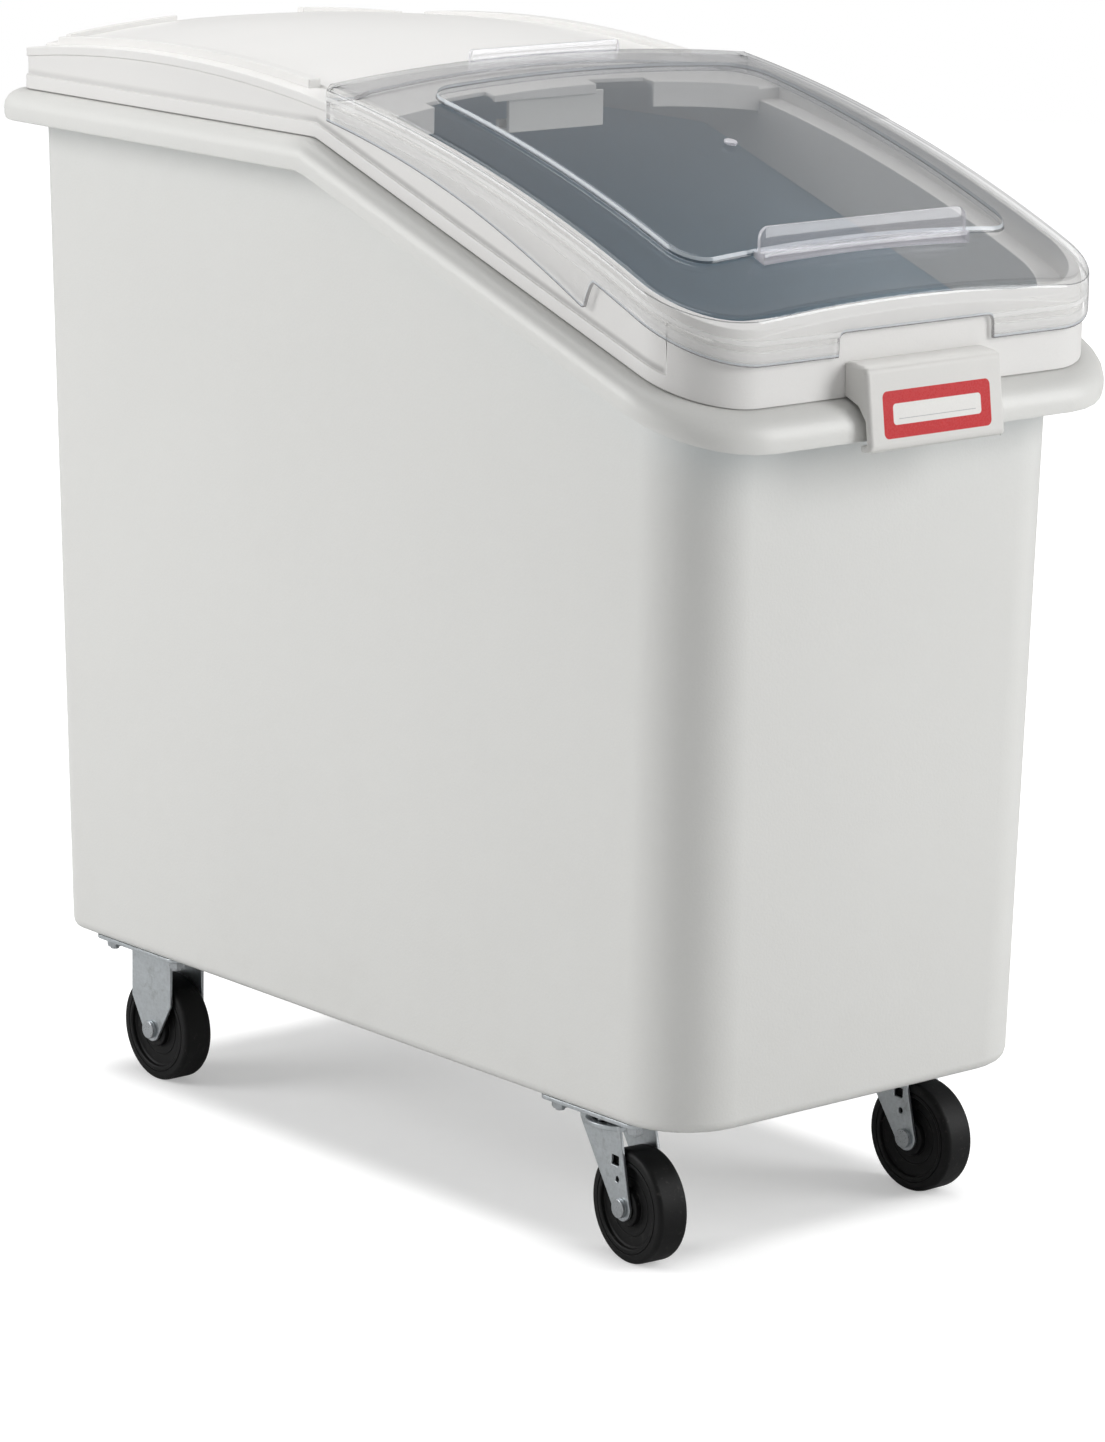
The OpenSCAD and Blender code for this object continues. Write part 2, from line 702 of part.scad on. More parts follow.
module fork(c) put([0.74, 0.77, 0.80]) at(c) {
  back_top = [24, crown_z - crown_t];
  front_top = [-20, crown_z - crown_t];
  toe = touch(back_top - [-trail, wheel_r], foot_pad) + [-trail, wheel_r];
  nose = [-trail - foot_pad, wheel_r];
  difference() {
    union() {
      translate([0, 0, crown_z - crown_t]) cylinder(r = race_out, h = crown_t);
      translate([-leg_x - leg_t, -20, crown_z - crown_t]) cube([2 * (leg_x + leg_t), 44, crown_t]);
      leg_pair() {
        translate([-trail, wheel_r]) circle(foot_pad);
        polygon([toe, back_top, [24, crown_z - 1], [-20, crown_z - 1], front_top, nose]);
      }
    }
    translate([0, -trail, wheel_r]) axle_hole();
    translate([0, 0, crown_z - crown_t - 1]) cylinder(r = pin_r + run_gap, h = crown_t + 2);
    ball_groove(ball_gap);
    translate([-30, -19.5, wheel_r + 27]) cube([60, 8, 6.5]);
    translate([0, -18, wheel_r + 18]) rotate([0, 90, 0]) cylinder(d = 4, h = 60, center = true);
  }
}
module axle_bolt(c) put([0.72, 0.74, 0.77]) at_axle(c) {
  translate([0, 0, -leg_x - leg_t - axle_head_h]) cylinder(d = axle_head_d, h = axle_head_h);
  translate([0, 0, -leg_x - leg_t - 1]) cylinder(d = axle_d, h = 2 * (leg_x + leg_t) + 1 + axle_nut_h + 1);
}
module axle_nut(c) put([0.68, 0.70, 0.73]) at_axle(c) difference() {
  translate([0, 0, leg_x + leg_t]) cylinder(d = axle_nut_d, h = axle_nut_h, $fn = 6);
  cylinder(d = axle_d + 2 * fix_gap, h = 60);
}
module axle_sleeve(c) put([0.60, 0.61, 0.63]) at_axle(c) difference() {
  cylinder(d = sleeve_d, h = 2 * leg_x, center = true);
  cylinder(d = axle_d + 2 * fix_gap, h = 60, center = true);
}
module wheel(c) put([0.06, 0.06, 0.065]) at_axle(c) rotate_extrude() difference() {
  union() {
    translate([sleeve_r, -wheel_w / 2]) square([wheel_r - shoulder - sleeve_r, wheel_w]);
    translate([sleeve_r, shoulder - wheel_w / 2]) square([wheel_r - sleeve_r, wheel_w - 2 * shoulder]);
    for (s = [-1, 1])
      translate([wheel_r - shoulder, s * (wheel_w / 2 - shoulder)]) circle(shoulder, $fn = 48);
    translate([sleeve_r, -wheel_w / 2 - hub_out]) square([hub_r - sleeve_r, wheel_w + 2 * hub_out]);
  }
  for (s = [-1, 1]) translate([hub_r, s * (wheel_w / 2 - web_in / 2 + 1) - web_in / 2 - 1])
    square([web_r - hub_r, web_in + 2]);
  translate([0, -wheel_w]) square([sleeve_r + run_gap, 2 * wheel_w]);
}

tub();
lid_frame();
clear_lid();
front_latch();
hanging_hook();
caster_bolts();
caster_nuts();
rear_bracket(rear_left);  // rear_left_bracket
axle_bolt(rear_left);  // rear_left_axle_bolt
axle_nut(rear_left);  // rear_left_axle_nut
axle_sleeve(rear_left);  // rear_left_sleeve
wheel(rear_left);  // rear_left_wheel
rear_bracket(rear_right);  // rear_right_bracket
axle_bolt(rear_right);  // rear_right_axle_bolt
axle_nut(rear_right);  // rear_right_axle_nut
axle_sleeve(rear_right);  // rear_right_sleeve
wheel(rear_right);  // rear_right_wheel
swivel_plate(front_left);  // front_left_plate
kingpin(front_left);  // front_left_kingpin
race_balls(front_left);  // front_left_balls
fork(front_left);  // front_left_fork
axle_bolt(front_left);  // front_left_axle_bolt
axle_nut(front_left);  // front_left_axle_nut
axle_sleeve(front_left);  // front_left_sleeve
wheel(front_left);  // front_left_wheel
swivel_plate(front_right);  // front_right_plate
kingpin(front_right);  // front_right_kingpin
race_balls(front_right);  // front_right_balls
fork(front_right);  // front_right_fork
axle_bolt(front_right);  // front_right_axle_bolt
axle_nut(front_right);  // front_right_axle_nut
axle_sleeve(front_right);  // front_right_sleeve
wheel(front_right);  // front_right_wheel
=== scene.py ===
"""Looks of a rolling flour bin: satin white plastics, a clear lid, zinc casters and black wheels.

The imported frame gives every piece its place. Pieces that only need softer edges start from the frame's own
shapes. The wheels and the clear lid are made anew inside the same outlines.
"""

import json
import logging
from collections.abc import Callable, Sequence
from dataclasses import dataclass, field
from enum import Enum, IntEnum
from math import asin, cos, hypot, pi, radians, sin, sqrt, tan

import bmesh
import bpy
from mathutils import Matrix, Vector

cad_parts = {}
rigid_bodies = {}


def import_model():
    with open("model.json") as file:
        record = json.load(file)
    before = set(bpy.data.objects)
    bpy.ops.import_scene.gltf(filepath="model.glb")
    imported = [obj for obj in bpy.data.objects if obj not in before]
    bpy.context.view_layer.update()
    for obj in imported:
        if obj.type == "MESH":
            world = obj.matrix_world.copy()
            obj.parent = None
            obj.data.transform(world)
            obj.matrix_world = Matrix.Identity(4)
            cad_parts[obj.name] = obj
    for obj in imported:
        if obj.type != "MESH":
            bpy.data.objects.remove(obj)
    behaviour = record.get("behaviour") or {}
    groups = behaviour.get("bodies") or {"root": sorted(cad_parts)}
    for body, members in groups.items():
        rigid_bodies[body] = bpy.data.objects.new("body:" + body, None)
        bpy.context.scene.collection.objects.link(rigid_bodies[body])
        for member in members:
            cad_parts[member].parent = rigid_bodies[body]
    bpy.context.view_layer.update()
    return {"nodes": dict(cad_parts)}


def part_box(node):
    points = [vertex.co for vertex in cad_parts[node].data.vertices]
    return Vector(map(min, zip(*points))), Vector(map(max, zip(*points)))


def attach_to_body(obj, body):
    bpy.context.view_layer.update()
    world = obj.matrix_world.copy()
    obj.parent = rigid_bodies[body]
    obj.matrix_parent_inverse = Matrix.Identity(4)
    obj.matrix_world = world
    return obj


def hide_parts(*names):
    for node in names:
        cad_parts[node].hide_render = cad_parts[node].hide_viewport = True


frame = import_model()

log = logging.getLogger("flour_bin")
Colour = tuple[float, float, float]
Point = tuple[float, float, float]
Pair = tuple[float, float]
Piece = bpy.types.Object
Number = float | int

# The line of the rim's top: level at the rear, falling to the front from the bend on.
RIM_Z = 0.706
RIM_BEND_Y = 0.02525
RIM_FALL = tan(radians(19.1))
# Copied shapes: points closer than the gap are merged, faces that bend less than the angle are joined.
MERGE_GAP = 2e-6
FLAT_ANGLE = radians(0.25)
WHITE = (1.0, 1.0, 1.0)
# Sockets of the node that mixes two colours.
MIX_FIRST, MIX_SECOND, MIX_RESULT = 6, 7, 2


def srgb(red: int, green: int, blue: int) -> Colour:
    """Turn a screen colour, 0 to 255 each, into linear light."""
    parts = (red / 255, green / 255, blue / 255)
    return tuple(c / 12.92 if c <= 0.04045 else ((c + 0.055) / 1.055) ** 2.4 for c in parts)


def arithmetic(kind: str, swapped: bool = False) -> Callable[..., "Val"]:
    """Make one of the arithmetic methods of a value.

    Args:
        kind: The step of arithmetic.
        swapped: True if the other value stands on the left.

    Returns:
        The method.
    """

    def method(self: "Val", other: "Val | Number" = 0.0) -> "Val":
        """Do this step with another value or a number."""
        return self.graph.math(kind, *((other, self) if swapped else (self, other)))

    return method


class Val:
    """A shader socket that takes part in arithmetic."""

    __add__, __radd__ = arithmetic("ADD"), arithmetic("ADD", True)
    __sub__, __rsub__ = arithmetic("SUBTRACT"), arithmetic("SUBTRACT", True)
    __mul__, __rmul__ = arithmetic("MULTIPLY"), arithmetic("MULTIPLY", True)
    __pow__ = arithmetic("POWER")
    __abs__ = arithmetic("ABSOLUTE")
    most = arithmetic("MAXIMUM")

    def __init__(self, graph: "Graph", socket: bpy.types.NodeSocket) -> None:
        """Wrap a socket of a graph."""
        self.graph = graph
        self.socket = socket

    def ramp(self, low: Number, high: Number) -> "Val":
        """A smooth step.

        Args:
            low: Value at which the step begins; it may be the larger one.
            high: Value at which the step is done.

        Returns:
            0 before the step and 1 after it.
        """
        inputs = {"Value": self, "From Min": min(low, high), "From Max": max(low, high)}
        done = self.graph.node("ShaderNodeMapRange", {"interpolation_type": "SMOOTHSTEP"}, inputs)
        return 1.0 - done if low > high else done

    def out(self, name: str) -> "Val":
        """Another output of the node this value comes from."""
        return Val(self.graph, self.socket.node.outputs[name])


class Graph:
    """A node tree and the few ways in which this script adds to it."""

    def __init__(self, tree: bpy.types.NodeTree) -> None:
        """Take over a tree and empty it."""
        self.tree = tree
        self.tree.nodes.clear()

    def fill(self, socket: bpy.types.NodeSocket, value: object) -> None:
        """Link a value to a socket, or set the socket.

        Args:
            socket: The input.
            value: A Val, a number, or three numbers.
        """
        if isinstance(value, Val):
            self.tree.links.new(value.socket, socket)
        elif socket.type == "RGBA":
            socket.default_value = (*value, 1.0)
        else:
            socket.default_value = value

    def node(
        self, kind: str, settings: dict | None = None, inputs: dict | None = None, out: str | int = 0
    ) -> Val:
        """Add any node.

        Args:
            kind: Type of the node.
            settings: Attributes to set.
            inputs: Values by input name or number.
            out: Output to hand back.

        Returns:
            The chosen output.
        """
        node = self.tree.nodes.new(kind)
        for name, value in (settings or {}).items():
            setattr(node, name, value)
        for key, value in (inputs or {}).items():
            self.fill(node.inputs[key], value)
        return Val(self, node.outputs[out])

    def math(self, operation: str, first: object, second: object) -> Val:
        """Add one step of arithmetic."""
        return self.node("ShaderNodeMath", {"operation": operation}, {0: first, 1: second})

    def place(self) -> Val:
        """Where the point lies on the piece, in metres."""
        return self.node("ShaderNodeTexCoord", out="Object")

    def axes(self, vector: Val) -> tuple[Val, Val, Val]:
        """Split a vector into its three numbers."""
        x = self.node("ShaderNodeSeparateXYZ", inputs={0: vector})
        return x, x.out("Y"), x.out("Z")

    def stretch(self, vector: Val, scale: Sequence[float], turn: Sequence[float] = (0, 0, 0)) -> Val:
        """Scale a place along each axis and turn it, so that a pattern runs long in one direction."""
        inputs = {"Vector": vector, "Scale": tuple(scale), "Rotation": tuple(turn)}
        return self.node("ShaderNodeMapping", None, inputs)

    def noise(self, vector: Val, scale: float, detail: float = 2.0, rough: float = 0.5) -> Val:
        """Soft random clouds from 0 to 1, so many per metre, with finer layers of some strength."""
        inputs = {"Vector": vector, "Scale": scale, "Detail": detail, "Roughness": rough}
        return self.node("ShaderNodeTexNoise", None, inputs)

    def cells(self, vector: Val, scale: float) -> Val:
        """Random cells, so many per metre; gives the distance to their middles."""
        return self.node("ShaderNodeTexVoronoi", None, {"Vector": vector, "Scale": scale}, "Distance")

    def tint(self, colour: "Colour | Val", tone: Val) -> Val:
        """A colour made lighter or darker by a factor."""
        return self.node("ShaderNodeVectorMath", {"operation": "SCALE"}, {0: colour, "Scale": tone})

    def mix(self, share: Val, first: object, second: object) -> Val:
        """A colour between two: 0 for the first, 1 for the second."""
        inputs = {0: share, MIX_FIRST: first, MIX_SECOND: second}
        return self.node("ShaderNodeMix", {"data_type": "RGBA"}, inputs, MIX_RESULT)

    def bump(self, height: Val, distance: float) -> Val:
        """A surface direction from a height of 0 to 1 and the length that 1 stands for, in metres."""
        return self.node("ShaderNodeBump", None, {"Height": height, "Distance": distance})

    def normal(self) -> tuple[Val, Val, Val]:
        """Where the piece's face looks, as three numbers."""
        return self.axes(self.node("ShaderNodeTexCoord", out="Normal"))

    def surface(self, shader: Val, end: str = "ShaderNodeOutputMaterial") -> None:
        """Make a shader the one that shows."""
        self.tree.links.new(shader.socket, self.tree.nodes.new(end).inputs["Surface"])


class Finish:
    """A look that a piece can be given."""

    name: str

    def draw(self, g: Graph) -> Val:
        """Draw the look into a graph and give back its shader."""
        raise NotImplementedError

    def make(self) -> bpy.types.Material:
        """Make the material, or give back the one made before.

        Returns:
            The material.
        """
        material = bpy.data.materials.get(self.name)
        if material is None:
            material = bpy.data.materials.new(self.name)
            material.use_nodes = True
            g = Graph(material.node_tree)
            g.surface(self.draw(g))
        return material


@dataclass(frozen=True)
class Plastic(Finish):
    """Moulded plastic with a fine grain, faint flow clouds and a little dust low down."""

    name: str
    colour: Colour
    rough: float = 0.42
    grain: float = 620.0
    depth: float = 0.00012
    uneven: float = 0.05
    dust: float = 0.0
    specular: float = 0.5

    def mark(self, g: Graph, base: Val, rough: Val) -> tuple[Val, Val]:
        """Add marks to the colour and the roughness; plain plastic has none."""
        return base, rough

    def draw(self, g: Graph) -> Val:
        """Draw clouds, grain, scuffs, dust and marks.

        Args:
            g: The graph.

        Returns:
            The shader.
        """
        where = g.place()
        _, _, z = g.axes(where)
        cloud = g.noise(where, 5.0, 3.0, 0.55)
        flow = g.noise(g.stretch(where, (14, 14, 3)), 1.0, 4.0, 0.6)
        grain = g.noise(where, self.grain, 2.0, 0.6)
        scuff = g.noise(g.stretch(where, (38, 9, 160), (0.5, 0.2, 0.7)), 1.0, 5.0, 0.68).ramp(0.66, 0.82)
        low = z.ramp(0.34, 0.10) * g.noise(where, 22.0, 5.0, 0.65).ramp(0.42, 0.75) * self.dust
        tone = 1.0 + (cloud - 0.5) * self.uneven + (flow - 0.5) * self.uneven * 0.6 + (grain - 0.5) * 0.03
        base = g.mix(low, g.tint(self.colour, tone - scuff * 0.03), srgb(196, 192, 184))
        rough = self.rough + (cloud - 0.5) * 0.10 + (grain - 0.5) * 0.08 + scuff * 0.10 + low * 0.25
        normal = g.bump(grain + flow * 0.35 + scuff * 0.5, self.depth)
        base, rough = self.mark(g, base, rough)
        inputs = {"Base Color": base, "Roughness": rough, "Normal": normal, "IOR": 1.49}
        inputs["Specular IOR Level"] = self.specular
        return g.node("ShaderNodeBsdfPrincipled", None, inputs)


class RimPlastic(Plastic):
    """Moulded plastic of a piece that follows the rim's line, level at the rear and falling to the front."""

    def above_rim(self, g: Graph) -> Val:
        """Height of a point above the line of the rim's top."""
        _, y, z = g.axes(g.place())
        return z - RIM_Z + (RIM_BEND_Y - y).most(0.0) * RIM_FALL

    def outward(self, g: Graph) -> Val:
        """How far a face looks away from the middle.

        Args:
            g: The graph.

        Returns:
            A length, less than 0 for faces that look inward.
        """
        x, y, _ = g.axes(g.place())
        nx, ny, _ = g.normal()
        return x * nx + y * ny

    def falling(self, g: Graph) -> Val:
        """1 where the rim falls to the front, 0 where it is level."""
        _, y, _ = g.axes(g.place())
        return y.ramp(RIM_BEND_Y + 0.025, RIM_BEND_Y - 0.015)


@dataclass(frozen=True)
class ShadedTubPlastic(RimPlastic):
    """Moulded plastic of a tub, with painted shade: a bluish tint on the inside, and soft shade on the roll
    where the rim falls.
    """

    # Colour of the painted shade inside the tub, a bluish tint on the faces that look inward and on the tub's
    # floor, and the height of that floor.
    inside_shade_colour: Colour = srgb(214, 230, 240)
    floor_z: float = 0.118
    # Strength of the painted shade on the rim's roll, where the rim is level and where it falls to the front.
    roll: Pair = (0.12, 0.32)

    def mark(self, g: Graph, base: Val, rough: Val) -> tuple[Val, Val]:
        """Paint shade on the rim's roll, and paint the faces that look towards the middle with a bluish tint
        as painted shade.

        Args:
            g: The graph.
            base: The plastic's colour.
            rough: Its roughness.

        Returns:
            Both with the marks.
        """
        _, y, z = g.axes(g.place())
        _, _, nz = g.normal()
        inward = self.outward(g).ramp(-0.03, -0.09)
        floor = z.ramp(self.floor_z + 0.004, self.floor_z) * nz.ramp(0.3, 0.7)
        # Painted shade on the roll just below the rim's top, stronger where the rim falls.
        least, most = self.roll
        share = least + self.falling(g) * y.ramp(-0.37, -0.27) * (most - least)
        roll = self.above_rim(g).ramp(-0.0120, -0.0010) * share
        # Painted shade inside: the inward faces and the floor take the bluish tint.
        shaded_inside = g.tint(self.inside_shade_colour, 0.98 + g.noise(g.place(), 7.0, 3.0, 0.55) * 0.04)
        return g.mix(inward.most(floor), g.tint(base, 1.0 - roll), shaded_inside), rough


@dataclass(frozen=True)
class FramePlastic(RimPlastic):
    """Moulded plastic of the cover frame, with painted shade above its foot and in the seam on the rim."""

    # Painted shade: its strength in the crease above the foot where the rim is level and where it falls,
    # where it ends at the front, its band of heights above the foot, its strength in the seam on the rim, and
    # the foot's height.
    crease: Pair = (0.16, 0.38)
    crease_end: float = -0.3208
    crease_band: tuple[float, ...] = (-0.0002, 0.0010, 0.0018, 0.0055)
    seam: float = 0.55
    flange: float = 0.010

    def mark(self, g: Graph, base: Val, rough: Val) -> tuple[Val, Val]:
        """Draw the painted shade in the crease and the seam.

        Args:
            g: The graph.
            base: The plastic's colour.
            rough: Its roughness.

        Returns:
            Both with the marks.
        """
        up = self.above_rim(g)
        least, most = self.crease
        start, full, fade, end = (self.flange + d for d in self.crease_band)
        band = up.ramp(start, full) * up.ramp(end, fade)
        _, y, _ = g.axes(g.place())
        along = y.ramp(self.crease_end, self.crease_end + 0.004)
        # Painted shade in the crease above the foot, and a painted shadow in the seam just above the rim.
        crease = band * (least + self.falling(g) * (most - least)) * along
        seam = up.ramp(0.0014, 0.0004) * self.seam
        # Both are painted only on the faces that look outward.
        shade = crease.most(seam) * self.outward(g).ramp(0.03, 0.09)
        return g.tint(base, 1.0 - shade), rough


@dataclass(frozen=True)
class LabelPlastic(Plastic):
    """Moulded plastic with a plain red field and a blank write-on strip on its front."""

    field_half: Pair = (0.0465, 0.0148)
    strip_half: Pair = (0.038, 0.0066)
    middle_z: float = 0.5660

    def patch(self, g: Graph, half: Pair, radius: float) -> Val:
        """A rounded rectangle in the middle of the front.

        Args:
            g: The graph.
            half: Half its width and half its height.
            radius: Radius of its corners.

        Returns:
            1 inside it and 0 outside.
        """
        x, _, z = g.axes(g.place())
        _, ahead, _ = g.normal()
        dx = (abs(x) - (half[0] - radius)).most(0.0)
        dz = (abs(z - self.middle_z) - (half[1] - radius)).most(0.0)
        inside = ((dx * dx + dz * dz) ** 0.5).ramp(radius + 0.0002, radius - 0.0002)
        return inside * ahead.ramp(-0.6, -0.8)

    def mark(self, g: Graph, base: Val, rough: Val) -> tuple[Val, Val]:
        """Draw the red field and the strip with a ruled line.

        Args:
            g: The graph.
            base: The plastic's colour.
            rough: Its roughness.

        Returns:
            Both with the marks.
        """
        x, _, z = g.axes(g.place())
        field_mask = self.patch(g, self.field_half, 0.004)
        strip = self.patch(g, self.strip_half, 0.0025)
        rule = abs(z - (self.middle_z - 0.0030)).ramp(0.00030, 0.00018)
        rule = rule * abs(x).ramp(0.0335, 0.0330) * strip
        fleck = g.noise(g.place(), 900.0, 3.0, 0.6)
        base = g.mix(field_mask, base, g.tint(srgb(204, 44, 48), 0.92 + fleck * 0.16))
        base = g.mix(strip, base, g.tint(srgb(240, 239, 236), 0.97 + fleck * 0.05))
        return g.mix(rule * 0.6, base, srgb(150, 152, 156)), rough - field_mask * 0.06


@dataclass(frozen=True)
class Clear(Finish):
    """Clear plastic sheet: thin, glossy, with a faint haze, fine scratches, moulding ripples, and painted
    shade where it is seen edge-on.
    """

    name: str
    colour: Colour
    haze: float = 0.05
    rim: float = 0.35
    # How much the colour darkens where the sheet is seen edge-on, as painted shade.
    shade: float = 0.5
    gloss: Pair = (0.035, 0.9)
    shine: Colour = (0.97, 0.98, 1.0)

    def streaks(self, g: Graph) -> Val | Number:
        """Extra haze in streaks, which are painted highlights; a plain sheet has none."""
        return 0.0

    def draw(self, g: Graph) -> Val:
        """Draw the haze, the painted shade and the gloss.

        Args:
            g: The graph.

        Returns:
            The shader.
        """
        where = g.place()
        ripple = g.noise(where, 9.0, 2.0, 0.5)
        along = g.noise(g.stretch(where, (12, 420, 420), (0.1, 0.0, 0.35)), 1.0, 3.0, 0.6)
        across = g.noise(g.stretch(where, (400, 14, 400), (0.0, 0.1, -0.5)), 1.0, 3.0, 0.6)
        scratch = along.ramp(0.66, 0.74).most(across.ramp(0.67, 0.75))
        flour = g.noise(where, 260.0, 6.0, 0.7).ramp(0.60, 0.80)
        turned = g.node("ShaderNodeLayerWeight", None, {"Blend": 0.5}, "Facing")
        alpha = self.haze + (ripple - 0.5) * 0.02 + scratch * 0.03 + flour * 0.02 + turned**4 * self.rim
        alpha = alpha + self.streaks(g)
        # Painted shade: the colour darkens where the sheet is seen edge-on.
        tone = (0.96 + ripple * 0.08 + flour * 0.25) * (1.0 - turned**6 * self.shade)
        normal = g.bump(ripple + scratch * 0.02, 0.0004)
        inputs = {
            "Base Color": g.tint(self.colour, tone),
            "Roughness": 0.16 + scratch * 0.12 + flour * 0.10,
            "Alpha": alpha,
            "Normal": normal,
            "IOR": 1.49,
            "Specular IOR Level": 0.1,
        }
        body = g.node("ShaderNodeBsdfPrincipled", None, inputs)
        mirror = {"Color": self.shine, "Roughness": 0.05, "Normal": normal}
        gloss = g.node("ShaderNodeBsdfAnisotropic", None, mirror)
        square, grazing = self.gloss
        return g.node("ShaderNodeMixShader", None, {0: square + turned**5 * grazing, 1: body, 2: gloss})


@dataclass(frozen=True)
class ClearSkirt(Clear):
    """Clear skirt of an arched lid, with painted highlights in streaks that run along the arch below its
    edge.
    """

    axis_y: float = 0.20025
    axis_z: float = -0.493
    arch: float = 1.250

    def streaks(self, g: Graph) -> Val:
        """Painted highlights: bright streaks at two depths below the arch.

        Args:
            g: The graph.

        Returns:
            The extra haze.
        """
        _, y, z = g.axes(g.place())
        dy, dz = y - self.axis_y, z - self.axis_z
        depth = self.arch - (dy * dy + dz * dz) ** 0.5
        # Painted highlights along the skirt, a narrow one and a broad one.
        narrow = abs(depth - 0.0085).ramp(0.0020, 0.0006)
        broad = abs(depth - 0.0160).ramp(0.0040, 0.0010)
        return narrow * 0.45 + broad * 0.28


@dataclass(frozen=True)
class Zinc(Finish):
    """Bright zinc-plated steel: small crystal cells, rolling lines, dull spots and a bluish cast."""

    name: str
    colour: Colour
    rough: float = 0.34
    cell: float = 420.0
    lines: Point = (60, 60, 900)

    def draw(self, g: Graph) -> Val:
        """Draw the crystals, the rolling lines and the dull spots.

        Args:
            g: The graph.

        Returns:
            The shader.
        """
        where = g.place()
        wobble = g.noise(where, 180.0, 2.0)
        crystal = g.cells(where, self.cell)
        line = g.noise(g.stretch(where, self.lines), 1.0, 3.0, 0.6)
        spot = g.noise(where, 70.0, 5.0, 0.7).ramp(0.52, 0.78)
        tone = 0.90 + crystal * 0.16 + (line - 0.5) * 0.16 + (wobble - 0.5) * 0.10 - spot * 0.14
        base = g.mix(spot * 0.5, g.tint(self.colour, tone), g.tint(srgb(140, 143, 140), tone))
        rough = self.rough + (crystal - 0.4) * 0.10 + (line - 0.5) * 0.14 + spot * 0.20
        normal = g.bump(crystal * 0.5 + line + wobble * 0.4, 0.00008)
        inputs = {"Base Color": base, "Roughness": rough, "Metallic": 0.92 - spot * 0.25, "Normal": normal}
        return g.node("ShaderNodeBsdfPrincipled", None, inputs)


@dataclass(frozen=True)
class Rubber(Finish):
    """Black rubber on a moulded core: fine pores, faint patches and pale dust."""

    name: str
    colour: Colour
    rough: float = 0.50

    def draw(self, g: Graph) -> Val:
        """Draw the pores and the dust.

        Args:
            g: The graph.

        Returns:
            The shader.
        """
        where = g.place()
        pore = g.noise(where, 1400.0, 3.0, 0.6)
        patch = g.noise(where, 60.0, 4.0, 0.6)
        dust = g.noise(where, 240.0, 6.0, 0.72).ramp(0.54, 0.80) * patch.ramp(0.40, 0.70)
        tone = 0.85 + (patch - 0.5) * 0.5 + pore * 0.3
        base = g.mix(dust * 0.16, g.tint(self.colour, tone), srgb(170, 166, 158))
        rough = self.rough + (patch - 0.5) * 0.16 + (pore - 0.5) * 0.12 + dust * 0.20
        normal = g.bump(pore + patch * 0.5, 0.00010)
        inputs = {"Base Color": base, "Roughness": rough, "Normal": normal, "Specular IOR Level": 0.26}
        return g.node("ShaderNodeBsdfPrincipled", None, inputs)


@dataclass(frozen=True)
class Paper(Finish):
    """White studio floor that keeps a shadow, has a painted shadow under the wheels, and shows as white to
    the camera.
    """

    name: str
    colour: Colour
    # Glow to the camera inside the painted shadow, and the half sizes of that shadow's rectangle under the
    # wheels.
    glow: float = 0.45
    under: Pair = (0.120, 0.270)

    def draw(self, g: Graph) -> Val:
        """Draw the floor with a painted shadow: it glows less to the camera over the ground under the wheels
        than away from it.

        Args:
            g: The graph.

        Returns:
            The shader.
        """
        where = g.place()
        fibre = g.noise(where, 40.0, 4.0, 0.6)
        x, y, _ = g.axes(where)
        # Painted shadow: a soft-edged rectangle under the wheels glows less than the floor around it.
        dx, dy = (abs(x) - self.under[0]).most(0.0), (abs(y - 0.02) - self.under[1]).most(0.0)
        away = ((dx * dx + dy * dy) ** 0.5).ramp(0.0, 0.05)
        far = ((x * x + y * y) ** 0.5).ramp(0.7, 2.4)
        seen = g.node("ShaderNodeLightPath", out="Is Camera Ray") * (self.glow + away * 0.36 + far * 0.3)
        base = g.tint(self.colour, 0.985 + fibre * 0.03)
        inputs = {
            "Base Color": base,
            "Roughness": 0.85,
            "Specular IOR Level": 0.1,
            "Emission Color": g.tint(WHITE, seen),
            "Emission Strength": 1.0,
        }
        return g.node("ShaderNodeBsdfPrincipled", None, inputs)


